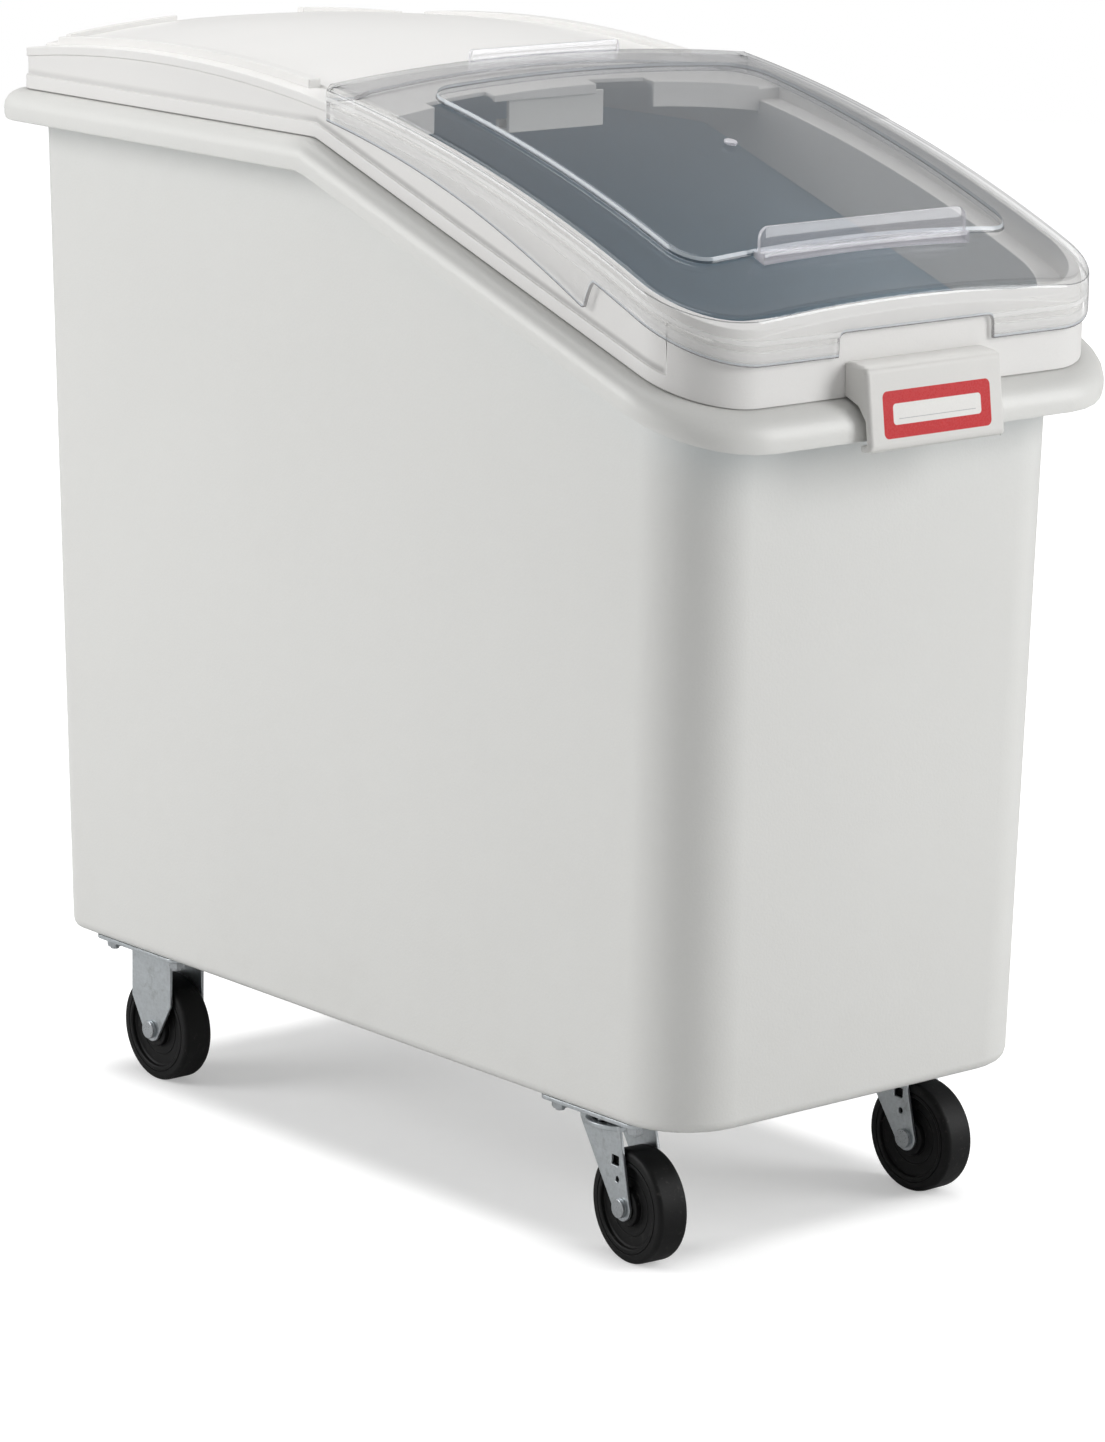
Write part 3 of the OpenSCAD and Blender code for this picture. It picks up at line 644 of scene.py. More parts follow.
class Look(Enum):
    """The finishes of this object."""

    TUB = ShadedTubPlastic("satin_tub", srgb(231, 231, 228), 0.40, 560.0, 0.00012, 0.03, 0.05)
    FRAME = FramePlastic("satin_frame", srgb(239, 238, 236), 0.36, 700.0, 0.00008, 0.035, 0.0)
    LATCH = LabelPlastic("satin_latch", srgb(230, 229, 226), 0.34, 700.0, 0.00008, 0.03, 0.0, 0.14)
    HOOK = Plastic("satin_hook", srgb(236, 236, 233), 0.38, 700.0, 0.00008, 0.03, 0.0)
    CLEAR = Clear("clear_sheet", srgb(150, 150, 153), 0.05)
    # Painted dark line on the cut edges and along the skirts' lower edge.
    CUT = Clear("clear_cut_edge", srgb(96, 92, 98), 0.55, 0.3)
    # Painted dark lines, at the foot of the panel's step and on the round edge.
    FOLD = Clear("clear_fold", srgb(52, 58, 66), 0.58, 0.2, 0.0)
    # Painted highlight lines, on the panel's step and just above the skirts' lower edge.
    LINE = Clear("clear_line", srgb(214, 221, 227), 0.62, 0.2, 0.0)
    # Skirts: a white haze that paints them lighter, painted highlight streaks, and a painted dark edge where
    # they are seen edge-on.
    SKIRT = ClearSkirt("clear_skirt", srgb(250, 250, 249), 0.22, 0.7, 0.8, (0.035, 0.25))
    BARE = Clear("clear_inside", srgb(150, 150, 153), 0.01, 0.0, 0.0, (0.0, 0.0))
    # Painted dark edge on the lid's round edge, darkest where it is seen edge-on.
    EDGE = Clear("clear_edge", srgb(64, 66, 70), 0.06, 0.85, 0.3, (0.035, 0.10))
    TAB = Clear("clear_tab", srgb(198, 196, 203), 0.16, 0.3, 0.2)
    # Painted highlight on the faces of the tabs and the nub that don't look along the lid.
    TAB_EDGE = Clear("clear_tab_edge", srgb(238, 236, 242), 0.55, 0.3, 0.0)
    ZINC = Zinc("zinc_sheet", srgb(196, 201, 204))
    BOLT = Zinc("zinc_bolt", srgb(186, 190, 193), 0.30, 700.0, (900, 60, 60))
    BEARING = Zinc("steel_polished", srgb(170, 172, 174), 0.24, 600.0, (700, 700, 60))
    RUBBER = Rubber("black_rubber", srgb(11, 11, 12), 0.54)
    FLOOR = Paper("floor_paper", (0.66, 0.66, 0.66), 0.33)


def alone(obj: Piece) -> None:
    """Make one object the only selected and active one.

    Args:
        obj: The object.
    """
    if bpy.context.object and bpy.context.object.mode != "OBJECT":
        mode("OBJECT")
    bpy.ops.object.select_all(action="DESELECT")
    obj.select_set(True)
    bpy.context.view_layer.objects.active = obj


def mode(name: str) -> None:
    """Switch between object mode and edit mode."""
    bpy.ops.object.mode_set(mode=name)


def every() -> None:
    """Select everything in edit mode."""
    bpy.ops.mesh.select_all(action="SELECT")


def added(name: str, make: Callable[..., object], **settings: object) -> Piece:
    """Add a primitive with nothing else selected.

    Args:
        name: Name of the new object.
        make: Operator that adds it.
        settings: Settings of the operator.

    Returns:
        The new object.
    """
    bpy.ops.object.select_all(action="DESELECT")
    make(**settings)
    obj = bpy.context.object
    obj.name = name
    return obj


def round_edges(
    obj: Piece, chosen: Callable[[Vector, Vector], bool], radius: float, segments: int
) -> None:
    """Round the edges of an object that are chosen by their place.

    Args:
        obj: The object.
        chosen: Tells from the two ends of an edge whether to round it.
        radius: Radius of the rounding in metres.
        segments: Steps of the rounding.
    """
    alone(obj)
    mode("EDIT")
    bpy.ops.mesh.select_mode(type="EDGE")
    bpy.ops.mesh.select_all(action="DESELECT")
    mesh = bmesh.from_edit_mesh(obj.data)
    for e in mesh.edges:
        if chosen(e.verts[0].co, e.verts[1].co):
            e.select = True
    bmesh.update_edit_mesh(obj.data)
    bpy.ops.mesh.bevel(offset=radius, segments=segments, affect="EDGES")
    bpy.ops.mesh.select_mode(type="VERT")
    mode("OBJECT")


def modify(obj: Piece, kind: str, **settings: object) -> None:
    """Add a modifier and apply it.

    Args:
        obj: The object.
        kind: Type of the modifier.
        settings: Its settings.
    """
    alone(obj)
    bpy.ops.object.modifier_add(type=kind)
    modifier = obj.modifiers[-1]
    for name, value in settings.items():
        setattr(modifier, name, value)
    bpy.ops.object.modifier_apply(modifier=modifier.name)


def smooth(obj: Piece, degrees: float = 38.0) -> None:
    """Smooth a piece's shading except at sharp edges, and keep its flat faces flat.

    Args:
        obj: The piece.
        degrees: Edges sharper than this stay sharp.
    """
    alone(obj)
    bpy.ops.object.shade_smooth_by_angle(angle=radians(degrees))
    modify(obj, "WEIGHTED_NORMAL", mode="FACE_AREA", weight=50, keep_sharp=True)


def copied(node: str, name: str) -> Piece:
    """Copy a node's shape into a clean, merged piece.

    Args:
        node: The node.
        name: Name of the piece.

    Returns:
        The new piece at the origin.
    """
    alone(frame["nodes"][node])
    bpy.ops.object.duplicate(linked=False)
    obj = bpy.context.view_layer.objects.active
    obj.name = name
    for key in list(obj.keys()):
        del obj[key]
    bpy.ops.object.parent_clear(type="CLEAR_KEEP_TRANSFORM")
    bpy.ops.mesh.customdata_custom_splitnormals_clear()
    alone(obj)
    mode("EDIT")
    every()
    bpy.ops.mesh.remove_doubles(threshold=MERGE_GAP)
    every()
    bpy.ops.mesh.dissolve_limited(angle_limit=FLAT_ANGLE)
    mode("OBJECT")
    return obj


def soften(obj: Piece, width: float, segments: int = 3, degrees: float = 40.0) -> None:
    """Round a piece's sharp edges.

    Args:
        obj: The piece.
        width: Width of the rounding in metres.
        segments: Steps of the rounding.
        degrees: Edges sharper than this are rounded.
    """
    modify(
        obj,
        "BEVEL",
        width=width,
        segments=segments,
        limit_method="ANGLE",
        angle_limit=radians(degrees),
        use_clamp_overlap=False,
        miter_outer="MITER_ARC",
    )


def paint(obj: Piece, look: Look) -> None:
    """Give a piece one finish."""
    obj.data.materials.clear()
    obj.data.materials.append(look.value.make())


def attach(obj: Piece, body: str, slot: str, *nodes: str) -> None:
    """Let a piece ride on a body and stand for its nodes.

    Args:
        obj: The piece.
        body: The body it moves with.
        slot: Not used.
        nodes: The nodes it stands for.
    """
    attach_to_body(obj, body)
    if nodes:
        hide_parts(*nodes)
    log.info("piece %s on %s", obj.name, body)


@dataclass
class Copied:
    """A piece that is a node's shape with rounded edges."""

    node: str
    body: str
    slot: str
    look: Look
    width: float
    shape: Piece | None = None

    def build(self) -> None:
        """Copy the node and round it."""
        self.shape = copied(self.node, f"{self.node}_shape")
        if self.width > 0:
            soften(self.shape, self.width)
        smooth(self.shape)

    def dress(self) -> None:
        """Paint the piece and attach it."""
        paint(self.shape, self.look)
        attach(self.shape, self.body, self.slot, self.node)


@dataclass
class Latch(Copied):
    """The latch, whose front corners are rounder than its other edges."""

    corner: float = 0.0030

    def build(self) -> None:
        """Copy the node, round the outer edges of its two ends, then the rest."""
        self.shape = copied(self.node, f"{self.node}_shape")
        low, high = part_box(self.node)

        def outer(*ends: Vector) -> bool:
            """Tell whether an edge lies on the outer outline of an end."""
            at_end = all(abs(abs(p.x) - high[0]) < 1e-4 for p in ends)
            return at_end and all(p.y < low[1] + 0.0042 or p.z > high[2] - 0.0046 for p in ends)

        round_edges(self.shape, outer, self.corner, 6)
        soften(self.shape, self.width)
        smooth(self.shape)


@dataclass
class Group:
    """A sub-assembly that is made and painted piece by piece."""

    pieces: list["Copied | ClearLid | Wheel | Group"] = field(default_factory=list)

    def build(self) -> None:
        """Make the pieces."""
        for piece in self.pieces:
            piece.build()

    def dress(self) -> None:
        """Paint the pieces and attach them."""
        for piece in self.pieces:
            piece.dress()


@dataclass
class Body(Group):
    """The tub."""

    def __post_init__(self) -> None:
        """Name the pieces."""
        self.pieces = [Copied("tub", "bin", "tub_plastic", Look.TUB, 0.0)]


def loft(name: str, rings: Sequence[Sequence[Point]]) -> Piece:
    """Make a sheet from rings of points: a circle is extruded, and each new ring is put in its place.

    Args:
        name: Name of the sheet.
        rings: Rings with the same number of points; the last one is gathered into one point.

    Returns:
        The sheet at the origin.
    """
    obj = added(name, bpy.ops.mesh.primitive_circle_add, vertices=len(rings[0]), location=(0, 0, 0))
    for vertex, point in zip(obj.data.vertices, rings[0]):
        vertex.co = point
    mode("EDIT")
    every()
    for before, after in zip(rings, rings[1:]):
        bpy.ops.mesh.extrude_edges_move()
        spots = {tuple(Vector(p)): q for p, q in zip(before, after)}
        for vertex in bmesh.from_edit_mesh(obj.data).verts:
            if vertex.select:
                vertex.co = spots[tuple(vertex.co)]
        bmesh.update_edit_mesh(obj.data)
    bpy.ops.mesh.merge(type="CENTER")
    every()
    bpy.ops.mesh.normals_make_consistent(inside=False)
    mode("OBJECT")
    return obj


class LidFace(IntEnum):
    """Finishes of the lid's sheet, in the order of their slots."""

    SHEET = 0
    CUT = 1
    FOLD = 2
    LINE = 3
    INSIDE = 4
    SKIRT = 5
    EDGE = 6


# Section of the step up to the lid's panel: millimetres inward from its outline, and the share of its height.
PANEL_STEP = (
    (-2.6, 0.0), (-0.8, 0.0), (-0.4, 0.08), (-0.15, 0.36), (0.1, 0.68), (0.35, 0.93), (0.8, 1.0), (2.6, 1.0)
)
# How far that section reaches to each side of the panel's outline, in metres.
PANEL_REACH = 0.0026
LID_LOOKS = (Look.CLEAR, Look.CUT, Look.FOLD, Look.LINE, Look.BARE, Look.SKIRT, Look.EDGE)


@dataclass
class ClearLid:
    """The clear lid: one arched sheet with a raised panel, skirts on three sides and two tabs.

    Lengths are in metres from the middle of the rim; shift moves them to the middle of the whole object.
    """

    half_x: float = 0.1851
    front_y: float = -0.3626
    rear_y: float = 0.005
    front_r: float = 0.0561
    rear_r: float = 0.002
    fillet: float = 0.006
    rear_fillet: float = 0.0012
    sheet: float = 0.0026
    arch_y: float = 0.195
    arch_z: float = -0.493
    arch_r: float = 1.250
    crown: float = 0.010
    panel_x: float = 0.142
    panel_front: float = -0.3056
    panel_rear: float = -0.043
    panel_r: float = 0.022
    panel_h: float = 0.0035
    skirt_end: float = -0.256
    skirt_deep: Pair = (0.019, 0.041)
    skirt_bow: float = 1.060
    skirt_low: float = 0.0215
    skirt_run: float = 0.013
    skirt_rise: float = 2.6
    skirt_round: float = 0.011
    skirt_toe: Pair = (0.003, 0.0015)
    deck_half: float = 0.158
    deck_r: Pair = (1.2395, 1.2375)
    deck_crown: float = 0.0105
    lip_half: float = 0.1825
    lip_gap: float = 0.0012
    cut_x: float = 0.067
    cut_h: float = 0.015
    cut_round: float = 0.005
    # Heights above the skirts' lower edge where the painted dark line ends, and where the painted highlight
    # line above it ends.
    edge_lines: Pair = (0.0009, 0.0022)
    fillet_steps: tuple[int, ...] = (0, 12, 17, 24, 37, 50, 63, 77, 90)
    # Band of the round edge that takes a painted dark line; the bands above it take the painted dark edge.
    fillet_line: int = 2
    tab_back: float = 0.052
    nub_y: float = -0.184
    nub_r: float = 0.0046
    shift: float = 0.00525
    shape: Piece | None = None

    def arch(self, radius: float, y: float) -> float:
        """Height of an arch of that radius at a distance along the bin."""
        return self.arch_z + sqrt(radius**2 - (y - self.arch_y) ** 2)

    def top(self, x: float, y: float, raised: float = 0.0) -> float:
        """Height of the lid's upper face at a point, or of a place raised above its plain arch."""
        return self.arch(self.arch_r + self.crown * (1 - (x / self.half_x) ** 2) + raised, y)

    def deep_edge(self, y: float) -> float:
        """Height of the lower edge of the deep side skirts, an arc through their two ends.

        Args:
            y: Distance along.

        Returns:
            The height.
        """
        radius = self.skirt_bow
        ay, az = self.rear_y, self.arch(self.arch_r - self.skirt_deep[0], self.rear_y)
        by, bz = self.skirt_end, self.arch(self.arch_r - self.skirt_deep[1], self.skirt_end)
        span = hypot(ay - by, az - bz)
        dy, dz = (ay - by) / span, (az - bz) / span
        sag = sqrt(radius**2 - span**2 / 4)
        cy, cz = (ay + by) / 2 + dz * sag, (az + bz) / 2 - dy * sag
        return cz + sqrt(radius**2 - (y - cy) ** 2)

    def rear_edge(self, x: float) -> float:
        """Height of the rear lip's lower edge, a small gap above the deck.

        Args:
            x: Distance across.

        Returns:
            The height.
        """
        middle, beside = self.deck_r
        crowned = middle + self.deck_crown * (1 - (x / self.deck_half) ** 2)
        deck = crowned if abs(x) < self.deck_half else beside
        return self.arch(deck + self.lip_gap, self.rear_y)

    def spread(self) -> tuple[list[float], list[float], list[float]]:
        """Where the points lie along a side, the front and the rear.

        Returns:
            Places along y from the rear forward, along x at the front, and along x at the rear.
        """
        rear, front = self.rear_y - self.rear_r, self.front_y + self.front_r
        end = self.skirt_end
        side = [rear + (end + 0.008 - rear) * k / 20 for k in range(21)]
        side += [end + d for d in (0.0045, 0.002, 0.0008, 0.0)]
        side += [end - self.skirt_run * k / 12 for k in range(1, 13)]
        side += [end - self.skirt_run + (front - end + self.skirt_run) * k / 4 for k in range(1, 5)]
        half = self.half_x - self.front_r
        cut = self.cut_x
        ends = [half - (half - cut - 0.001) * k / 4 for k in range(5)] + [cut + 0.0002, cut - 0.0003]
        ends += [cut - 0.0012, cut - 0.003, cut - 0.006]
        middle = [0.048, 0.034, 0.020, 0.007]
        right = ends + middle
        back = self.half_x - self.rear_r
        wide = [back * (1 - k / 16) for k in range(33)]
        return side, right + [-x for x in reversed(right)], wide

    def outline(self, grow: Point, panel: bool = False) -> list[Pair]:
        """A rounded outline with the same number of points every time.

        Args:
            grow: How far it lies inside at the sides, the front and the rear.
            panel: True for the outline of the raised panel.

        Returns:
            The points, counted from the rear end of the left side, forward and round.
        """
        side, front, rear = self.spread()
        at_side, at_front, at_rear = grow
        if panel:
            hx, yf, yr = self.panel_x - at_side, self.panel_front + at_front, self.panel_rear - at_rear
            rf = rr = self.panel_r - at_side
        else:
            hx, yf, yr = self.half_x - at_side, self.front_y + at_front, self.rear_y - at_rear
            rf, rr = self.front_r - max(at_side, at_front), max(self.rear_r - at_rear, 0.0004)
        s0, s1 = side[0], side[-1]
        ys = [yr - rr + (yf + rf - yr + rr) * (y - s0) / (s1 - s0) for y in side]
        xf = [(hx - rf) * x / front[0] for x in front]
        xr = [(hx - rr) * x / rear[0] for x in rear]
        bend = [pi / 2 * k / 14 for k in range(1, 14)]
        points = [(-hx, y) for y in ys]
        points += [(rf - hx - rf * cos(a), yf + rf - rf * sin(a)) for a in bend]
        points += [(-x, yf) for x in xf]
        points += [(hx - rf + rf * sin(a), yf + rf - rf * cos(a)) for a in bend]
        points += [(hx, y) for y in reversed(ys)]
        points += [(hx - rr + rr * cos(a), yr - rr + rr * sin(a)) for a in bend]
        points += [(x, yr) for x in xr]
        points += [(rr - hx - rr * sin(a), yr - rr + rr * cos(a)) for a in bend]
        return points

    def lower_edge(self, x: float, y: float) -> float:
        """Height of the skirts' lower edge at a point of the outer outline.

        Args:
            x: Distance across.
            y: Distance along.

        Returns:
            The height.
        """
        plain = self.arch(self.arch_r - self.skirt_low, y)
        if y > self.rear_y - self.rear_r * 0.7:
            return max(self.rear_edge(x), self.deep_edge(y)) if abs(x) > self.lip_half else self.rear_edge(x)
        if y >= self.skirt_end - self.skirt_run:
            return self.side_edge(y, plain)
        if y < self.front_y + 0.0005 and abs(x) < self.cut_x:
            near = max(0.0, 1 - (self.cut_x - abs(x)) / self.cut_round)
            return plain + self.cut_h - self.cut_round * (1 - sqrt(1 - near**2))
        return plain

    def side_edge(self, y: float, plain: float) -> float:
        """Height of a side skirt's lower edge, which rises in a slanted end with a round upper corner.

        Args:
            y: Distance along.
            plain: Height of the shallow skirt's lower edge there.

        Returns:
            The height.
        """
        ahead = self.skirt_end - y
        reach, lift = self.skirt_toe
        near = min(1.0, max(0.0, 1 + ahead / reach))
        slant = self.deep_edge(max(y, self.skirt_end)) + lift * near**2 + max(0.0, ahead) * self.skirt_rise
        close = max(0.0, self.skirt_round - abs(slant - plain)) / self.skirt_round
        return min(slant, plain) - close**2 * self.skirt_round / 4

    def rings(self) -> list[list[Point]]:
        """The rings from the skirts' lower edge up over the edge and in to the middle of the panel.

        Returns:
            The rings.
        """
        f, fr = self.fillet, self.rear_fillet
        outer = self.outline((0.0, 0.0, 0.0))
        inner = self.outline((f, f, fr))
        rings = [[(x, y, self.lower_edge(x, y) + rise) for x, y in outer] for rise in (0.0, *self.edge_lines)]
        for turn in self.fillet_steps:
            c, s = 1 - cos(radians(turn)), 1 - sin(radians(turn))
            at = self.outline((f * c, f * c, fr * c))
            ring = []
            for (x, y), (ix, iy) in zip(at, inner):
                drop = fr if y > self.rear_y - 0.0016 and abs(x) < self.half_x - 0.004 else f
                ring.append((x, y, self.top(ix, iy) - drop * s))
            rings.append(ring)
        edge = self.outline((-PANEL_REACH,) * 3, True)
        for t in (0.2, 0.4, 0.6, 0.8):
            mixed = [(a[0] + (b[0] - a[0]) * t, a[1] + (b[1] - a[1]) * t) for a, b in zip(inner, edge)]
            rings.append([(x, y, self.top(x, y)) for x, y in mixed])
        for offset, share in PANEL_STEP:
            d = offset / 1000
            at = self.outline((d, d, d), True)
            rings.append([(x, y, self.top(x, y, self.panel_h * share)) for x, y in at])
        inside = self.outline((PANEL_REACH,) * 3, True)
        my = (self.panel_front + self.panel_rear) / 2
        for t in (0.88, 0.72, 0.56, 0.40, 0.24, 0.10, 0.03):
            at = [(x * t, my + (y - my) * t) for x, y in inside]
            rings.append([(x, y, self.top(x, y, self.panel_h)) for x, y in at])
        return [[(x, y + self.shift, z) for x, y, z in ring] for ring in rings]

    def tab(self, name: str, size: Point, y: float, radius: float) -> Piece:
        """A flat upright tab with rounded upper corners that stands on the lid.

        Args:
            name: Name of the tab.
            size: Length across, thickness and height.
            y: Where its middle lies along the lid.
            radius: Radius of its upper corners.

        Returns:
            The tab.
        """
        length, thick, height = size
        foot = self.top(0.0, y)
        obj = added(name, bpy.ops.mesh.primitive_cube_add, size=1.0, location=(0, 0, 0))
        mode("EDIT")
        every()
        bpy.ops.transform.resize(value=(length, thick, height), center_override=(0, 0, 0))
        bpy.ops.transform.translate(value=(0, y + self.shift, foot + height / 2))
        mode("OBJECT")
        top = foot + height * 0.9
        round_edges(obj, lambda a, b: abs(a.y - b.y) > thick * 0.9 and min(a.z, b.z) > top, radius, 8)
        mode("EDIT")
        for k in range(1, 24):
            every()
            bpy.ops.mesh.bisect(plane_co=(length * (k / 24 - 0.5), 0, 0), plane_no=(1, 0, 0))
        mesh = bmesh.from_edit_mesh(obj.data)
        for v in mesh.verts:
            if v.co.z < foot + 0.0005:
                v.co.z = self.top(v.co.x, v.co.y - self.shift) - 0.0012
        bmesh.update_edit_mesh(obj.data)
        mode("OBJECT")
        soften(obj, 0.0005, 2, 45.0)
        return obj

    def part_of(self, point: Vector, normal: Vector) -> LidFace:
        """Tell which finish a face of the sheet's outside has.

        Args:
            point: The middle of the face.
            normal: Where it looks.

        Returns:
            The finish; the round edge is left to the maker of the sheet.
        """
        x, y, z = point.x, point.y - self.shift, point.z
        raised = (z - self.top(x, y)) / self.panel_h
        near = 0.003
        across = abs(x) < self.panel_x + near
        # The panel's step: a painted dark line at its foot and a painted highlight above it.
        if across and self.panel_front - near < y < self.panel_rear + near and 0.02 < raised < 0.95:
            return LidFace.FOLD if raised < 0.25 else LidFace.LINE
        above = z - self.lower_edge(x, y)
        dark, bright = self.edge_lines
        # Along the skirts' lower edge: a painted dark line with a painted highlight line just above it.
        if above < bright:
            return LidFace.CUT if above < dark else LidFace.LINE
        # Steep faces take the skirts' finish, with its painted highlights and painted dark edge.
        return LidFace.SKIRT if abs(normal.z) < 0.3 else LidFace.SHEET

    def nub(self) -> Piece:
        """A low round boss in the middle of the panel, which takes a painted highlight.

        Returns:
            The mark.
        """
        y = self.nub_y
        spot = (0.0, y + self.shift, self.top(0.0, y, self.panel_h))
        lean = asin((self.arch_y - y) / self.arch_r)
        size = {"vertices": 32, "radius": self.nub_r, "depth": 0.002}
        add = bpy.ops.mesh.primitive_cylinder_add
        obj = added("panel_nub", add, location=spot, rotation=(lean, 0, 0), **size)
        bpy.ops.object.transform_apply(location=True, rotation=True, scale=True)
        soften(obj, 0.0007, 3, 45.0)
        return obj

    def build(self) -> None:
        """Loft the sheet, give it its thickness, add the tabs and round the cut edges."""
        rings = self.rings()
        sheet = loft("clear_lid_shape", rings)
        for look in LID_LOOKS:
            sheet.data.materials.append(look.value.make())
        outer = [self.part_of(face.center, face.normal) for face in sheet.data.polygons]
        ring, below = len(rings[0]), len(self.edge_lines)
        line = (1 + below + self.fillet_line) * ring
        end = (below + len(self.fillet_steps)) * ring
        # A painted dark line on one band of the round edge, and the painted dark edge on the bands above it.
        outer[line:end] = [LidFace.FOLD] * ring + [LidFace.EDGE] * (end - line - ring)
        modify(sheet, "SOLIDIFY", thickness=self.sheet, offset=-1.0, use_even_offset=True)
        # The modifier keeps the outer faces first, then adds the inner ones in the same order, then the rim.
        inner = [LidFace.INSIDE if part else LidFace.SHEET for part in outer]
        # The cut edges take the painted dark line.
        rim = [LidFace.CUT] * (len(sheet.data.polygons) - 2 * len(outer))
        for face, part in zip(sheet.data.polygons, outer + inner + rim):
            face.material_index = part
        soften(sheet, 0.0004, 2, 55.0)
        front_y, rear_y = self.front_y + self.tab_back, self.rear_y - self.sheet / 2
        parts = [
            self.tab("front_tab", (0.178, 0.003, 0.018), front_y, 0.008),
            self.tab("front_tab_foot", (0.178, 0.010, 0.002), front_y, 0.0008),
            self.tab("rear_tab", (0.130, self.sheet, 0.006), rear_y, 0.003),
            self.nub(),
        ]
        for part in parts:
            # Tabs and nub: faces that don't look along the lid take the painted highlight.
            for look in (Look.TAB, Look.TAB_EDGE):
                part.data.materials.append(look.value.make())
            for face in part.data.polygons:
                face.material_index = int(abs(face.normal.y) < 0.5)
        bpy.ops.object.select_all(action="DESELECT")
        for part in (*parts, sheet):
            part.select_set(True)
        bpy.context.view_layer.objects.active = sheet
        bpy.ops.object.join()
        self.shape = sheet
        alone(sheet)
        bpy.ops.object.shade_smooth_by_angle(angle=radians(40))

    def dress(self) -> None:
        """Attach the lid; it was painted while it was made."""
        attach(self.shape, "clear_lid", "clear_plastic", "clear_lid")


@dataclass
class Cover(Group):
    """The cover frame with its latch, its hook and the clear lid."""

    def __post_init__(self) -> None:
        """Name the pieces."""
        self.pieces = [
            Copied("lid_frame", "cover", "frame_plastic", Look.FRAME, 0.0008),
            Latch("front_latch", "cover", "latch_plastic", Look.LATCH, 0.0011),
            Copied("hanging_hook", "cover", "frame_plastic", Look.HOOK, 0.0006),
            ClearLid(),
        ]


# Section of a wheel's side from the hub to the tread: distance from the axle, rise above the tread's side.
HUB_SECTION = (
    (0.0118, 0.0008), (0.0127, 0.0005), (0.0130, -0.0002), (0.0132, -0.0030), (0.0140, -0.0035),
    (0.0190, -0.0035), (0.0193, -0.0031), (0.0199, -0.0031), (0.0202, -0.0035), (0.0265, -0.0034),
    (0.0276, -0.0026), (0.0281, -0.0006), (0.0289, 0.0), (0.0308, 0.0), (0.0311, -0.0006),
    (0.0315, -0.0006), (0.0318, 0.0),
)


@dataclass
class Wheel:
    """One wheel: a rubber tread on a moulded core with a raised hub."""

    corner: str
    turn: float
    radius: float = 0.0381
    half: float = 0.0115
    bore: float = 0.00605
    shoulder: float = 0.0035
    shape: Piece | None = None

    def profile(self) -> list[Pair]:
        """The outline of one half of the section.

        Returns:
            Pairs of distance from the axle and from the wheel's middle, in metres, from the bore out.
        """
        r, w = self.radius, self.half
        turns = [radians(15 * k) for k in range(7)]
        core, round_r = r - self.shoulder, self.shoulder
        tread = [(core + round_r * sin(a) * 0.999, w - round_r + round_r * cos(a)) for a in turns]
        return [(self.bore, w + 0.0008), *((distance, w + rise) for distance, rise in HUB_SECTION), *tread]

    def build(self) -> None:
        """Draw the section, spin it about the axle and turn the wheel with its caster."""
        low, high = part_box(f"{self.corner}_wheel")
        centre = (Vector(low) + Vector(high)) / 2
        half = self.profile()
        section = half + [(r, -x) for r, x in reversed(half)]
        name = f"{self.corner}_wheel_shape"
        self.shape = added(name, bpy.ops.mesh.primitive_plane_add, size=0.01, location=(0, 0, 0))
        points = [Vector((centre.x + x, centre.y, centre.z + r)) for r, x in section]
        mode("EDIT")
        every()
        bpy.ops.mesh.merge(type="CENTER")
        bpy.ops.transform.translate(value=points[0])
        for before, after in zip(points, points[1:]):
            bpy.ops.mesh.extrude_region_move(TRANSFORM_OT_translate={"value": after - before})
        every()
        bpy.ops.mesh.edge_face_add()
        bpy.ops.mesh.delete(type="ONLY_FACE")
        every()
        bpy.ops.mesh.spin(steps=96, angle=2 * pi, center=centre, axis=(1, 0, 0))
        every()
        bpy.ops.mesh.remove_doubles(threshold=1e-6)
        every()
        bpy.ops.mesh.normals_make_consistent(inside=False)
        bpy.ops.transform.rotate(value=-radians(self.turn), orient_axis="Z", center_override=centre)
        mode("OBJECT")
        smooth(self.shape, 32.0)

    def dress(self) -> None:
        """Paint the wheel and attach it."""
        paint(self.shape, Look.RUBBER)
        attach(self.shape, f"{self.corner}_wheel_body", "wheel_rubber", f"{self.corner}_wheel")


@dataclass
class Caster(Group):
    """One caster: bent sheet, axle, wheel, and the swivel where it has one."""

    corner: str = "rear_left"
    turn: float = 0.0
    swivels: bool = False

    def __post_init__(self) -> None:
        """Name the pieces."""
        body = f"{self.corner}_swivel" if self.swivels else "bin"
        rows = [
            ("fork" if self.swivels else "bracket", body, Look.ZINC, 0.0007),
            ("axle_bolt", body, Look.BOLT, 0.0007),
            ("axle_nut", body, Look.BOLT, 0.0005),
        ]
        if self.swivels:
            rows.append(("plate", "bin", Look.ZINC, 0.0006))
        self.pieces = [Copied(f"{self.corner}_{row[0]}", row[1], "zinc_steel", *row[2:]) for row in rows]
        self.pieces.append(Wheel(self.corner, self.turn))

    def dress(self) -> None:
        """Paint the caster's pieces; the hidden ones keep their own shape."""
        Group.dress(self)
        hidden = {"sleeve": Look.BEARING}
        if self.swivels:
            hidden |= {"kingpin": Look.BOLT, "balls": Look.BEARING}
        for name, look in hidden.items():
            paint(frame["nodes"][f"{self.corner}_{name}"], look)


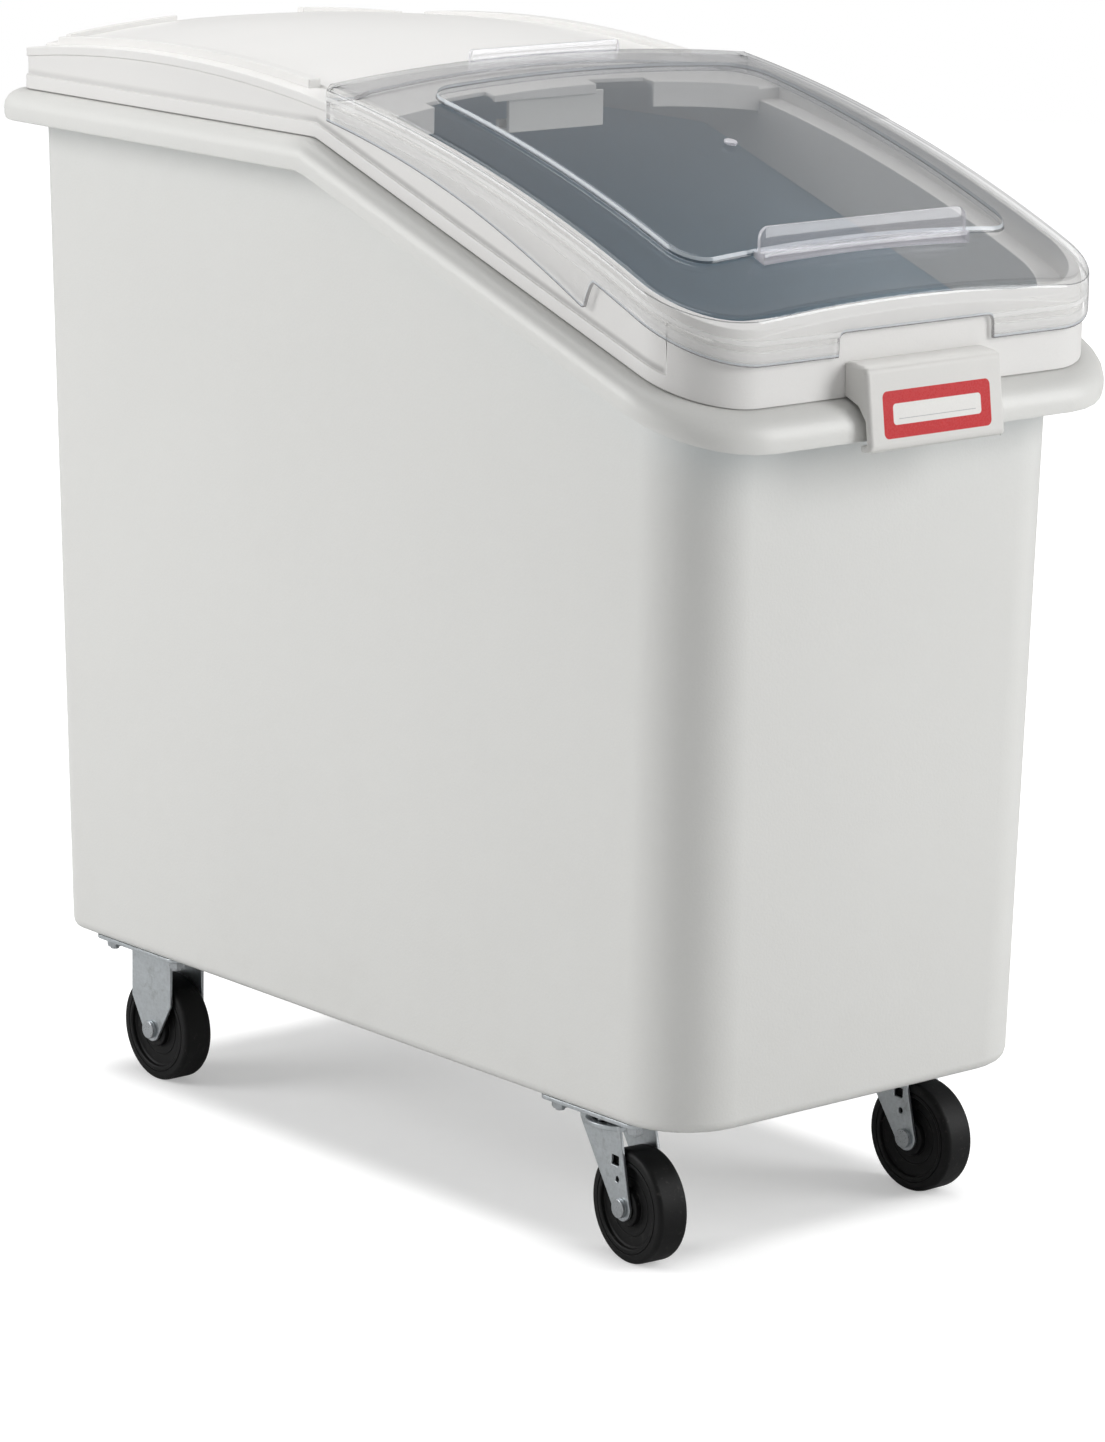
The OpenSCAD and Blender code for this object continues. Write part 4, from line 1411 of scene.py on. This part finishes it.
@dataclass
class Running(Group):
    """The four casters and the bolts and nuts that hold them."""

    def __post_init__(self) -> None:
        """Name the pieces."""
        self.pieces = [
            Caster(corner="rear_left"),
            Caster(corner="rear_right"),
            Caster(corner="front_left", turn=-4.8, swivels=True),
            Caster(corner="front_right", turn=1.1, swivels=True),
            Copied("caster_bolts", "bin", "zinc_steel", Look.BOLT, 0.0006),
            Copied("caster_nuts", "bin", "zinc_steel", Look.BOLT, 0.0005),
        ]


@dataclass(frozen=True)
class Lamp:
    """A broad, soft light."""

    name: str
    place: Point
    aim: Point
    size: Pair
    level: float
    outline: str = "RECTANGLE"

    def build(self) -> None:
        """Hang the light; its level is what a white face square to it shows at the aim."""
        gap = Vector(self.aim) - Vector(self.place)
        data = bpy.data.lights.new(self.name, "AREA")
        data.shape = self.outline
        data.size, data.size_y = self.size
        data.energy = self.level * pi**2 * gap.length_squared
        obj = bpy.data.objects.new(self.name, data)
        obj.location = self.place
        obj.rotation_euler = gap.to_track_quat("-Z", "Y").to_euler()
        bpy.context.scene.collection.objects.link(obj)


@dataclass
class Studio:
    """White floor, soft lights and the camera."""

    turn: float = -40.39
    rise: float = 13.06
    roll: float = 0.90
    gap: float = 3.82071
    aim: Point = (0.01229, 0.00431, 0.29232)
    lens: float = 180.62
    sky: float = 0.30
    lamps: tuple[Lamp, ...] = (
        Lamp("left_rear_box", (-2.6, 1.7, 1.6), (0.0, 0.0, 0.4), (1.6, 2.0), 0.50),
        Lamp("right_front_box", (1.9, -2.4, 1.5), (0.0, 0.0, 0.4), (1.4, 2.0), 0.52),
        Lamp("top_box", (0.2, 0.5, 3.0), (0.0, 0.0, 0.4), (2.0, 2.0), 0.52, "ELLIPSE"),
    )

    def build(self) -> None:
        """Set up the floor, the sky, the lamps and the camera."""
        self.lay_floor()
        self.set_sky()
        for lamp in self.lamps:
            lamp.build()
        self.set_camera()
        bpy.context.scene.view_settings.view_transform = "Standard"

    def lay_floor(self) -> None:
        """Lay a large white floor under the wheels."""
        size = {"vertices": 128, "radius": 6.0, "fill_type": "NGON"}
        floor = added("floor", bpy.ops.mesh.primitive_circle_add, location=(0, 0, 0), **size)
        paint(floor, Look.FLOOR)

    def set_sky(self) -> None:
        """Make the surroundings white to the camera and an even soft light to everything else."""
        world = bpy.data.worlds.new("studio")
        bpy.context.scene.world = world
        world.use_nodes = True
        g = Graph(world.node_tree)
        _, _, up = g.axes(g.node("ShaderNodeTexCoord", out="Generated"))
        shade = self.sky * (0.86 + up.ramp(-0.2, 0.9) * 0.3)
        seen = g.node("ShaderNodeLightPath", out="Is Camera Ray")
        colour = g.mix(seen, g.tint(WHITE, shade), WHITE)
        shader = g.node("ShaderNodeBackground", None, {"Color": colour, "Strength": 1.0})
        g.surface(shader, "ShaderNodeOutputWorld")

    def set_camera(self) -> None:
        """Put the camera where the picture was taken from."""
        a, e, ro = (radians(v) for v in (self.turn, self.rise, self.roll))
        back = Vector((sin(a) * cos(e), -cos(a) * cos(e), sin(e)))
        right = Vector((cos(a), sin(a), 0.0))
        up = back.cross(right)
        across = cos(ro) * right + sin(ro) * up
        upright = -sin(ro) * right + cos(ro) * up
        data = bpy.data.cameras.new("camera")
        data.sensor_fit = "HORIZONTAL"
        data.sensor_width = 36.0
        data.lens = self.lens
        data.clip_end = 100.0
        obj = bpy.data.objects.new("camera", data)
        turned = Matrix((across, upright, back)).transposed().to_4x4()
        obj.matrix_world = Matrix.Translation(Vector(self.aim) + self.gap * back) @ turned
        bpy.context.scene.collection.objects.link(obj)
        bpy.context.scene.camera = obj


def main() -> None:
    """Build, dress and light the bin."""
    logging.basicConfig(level=logging.INFO, format="%(name)s: %(message)s")
    groups = (Body(), Cover(), Running())
    for group in groups:
        group.build()
        group.dress()
        log.info("made %s", type(group).__name__)
    Studio().build()


if __name__ == "__main__":
    main()
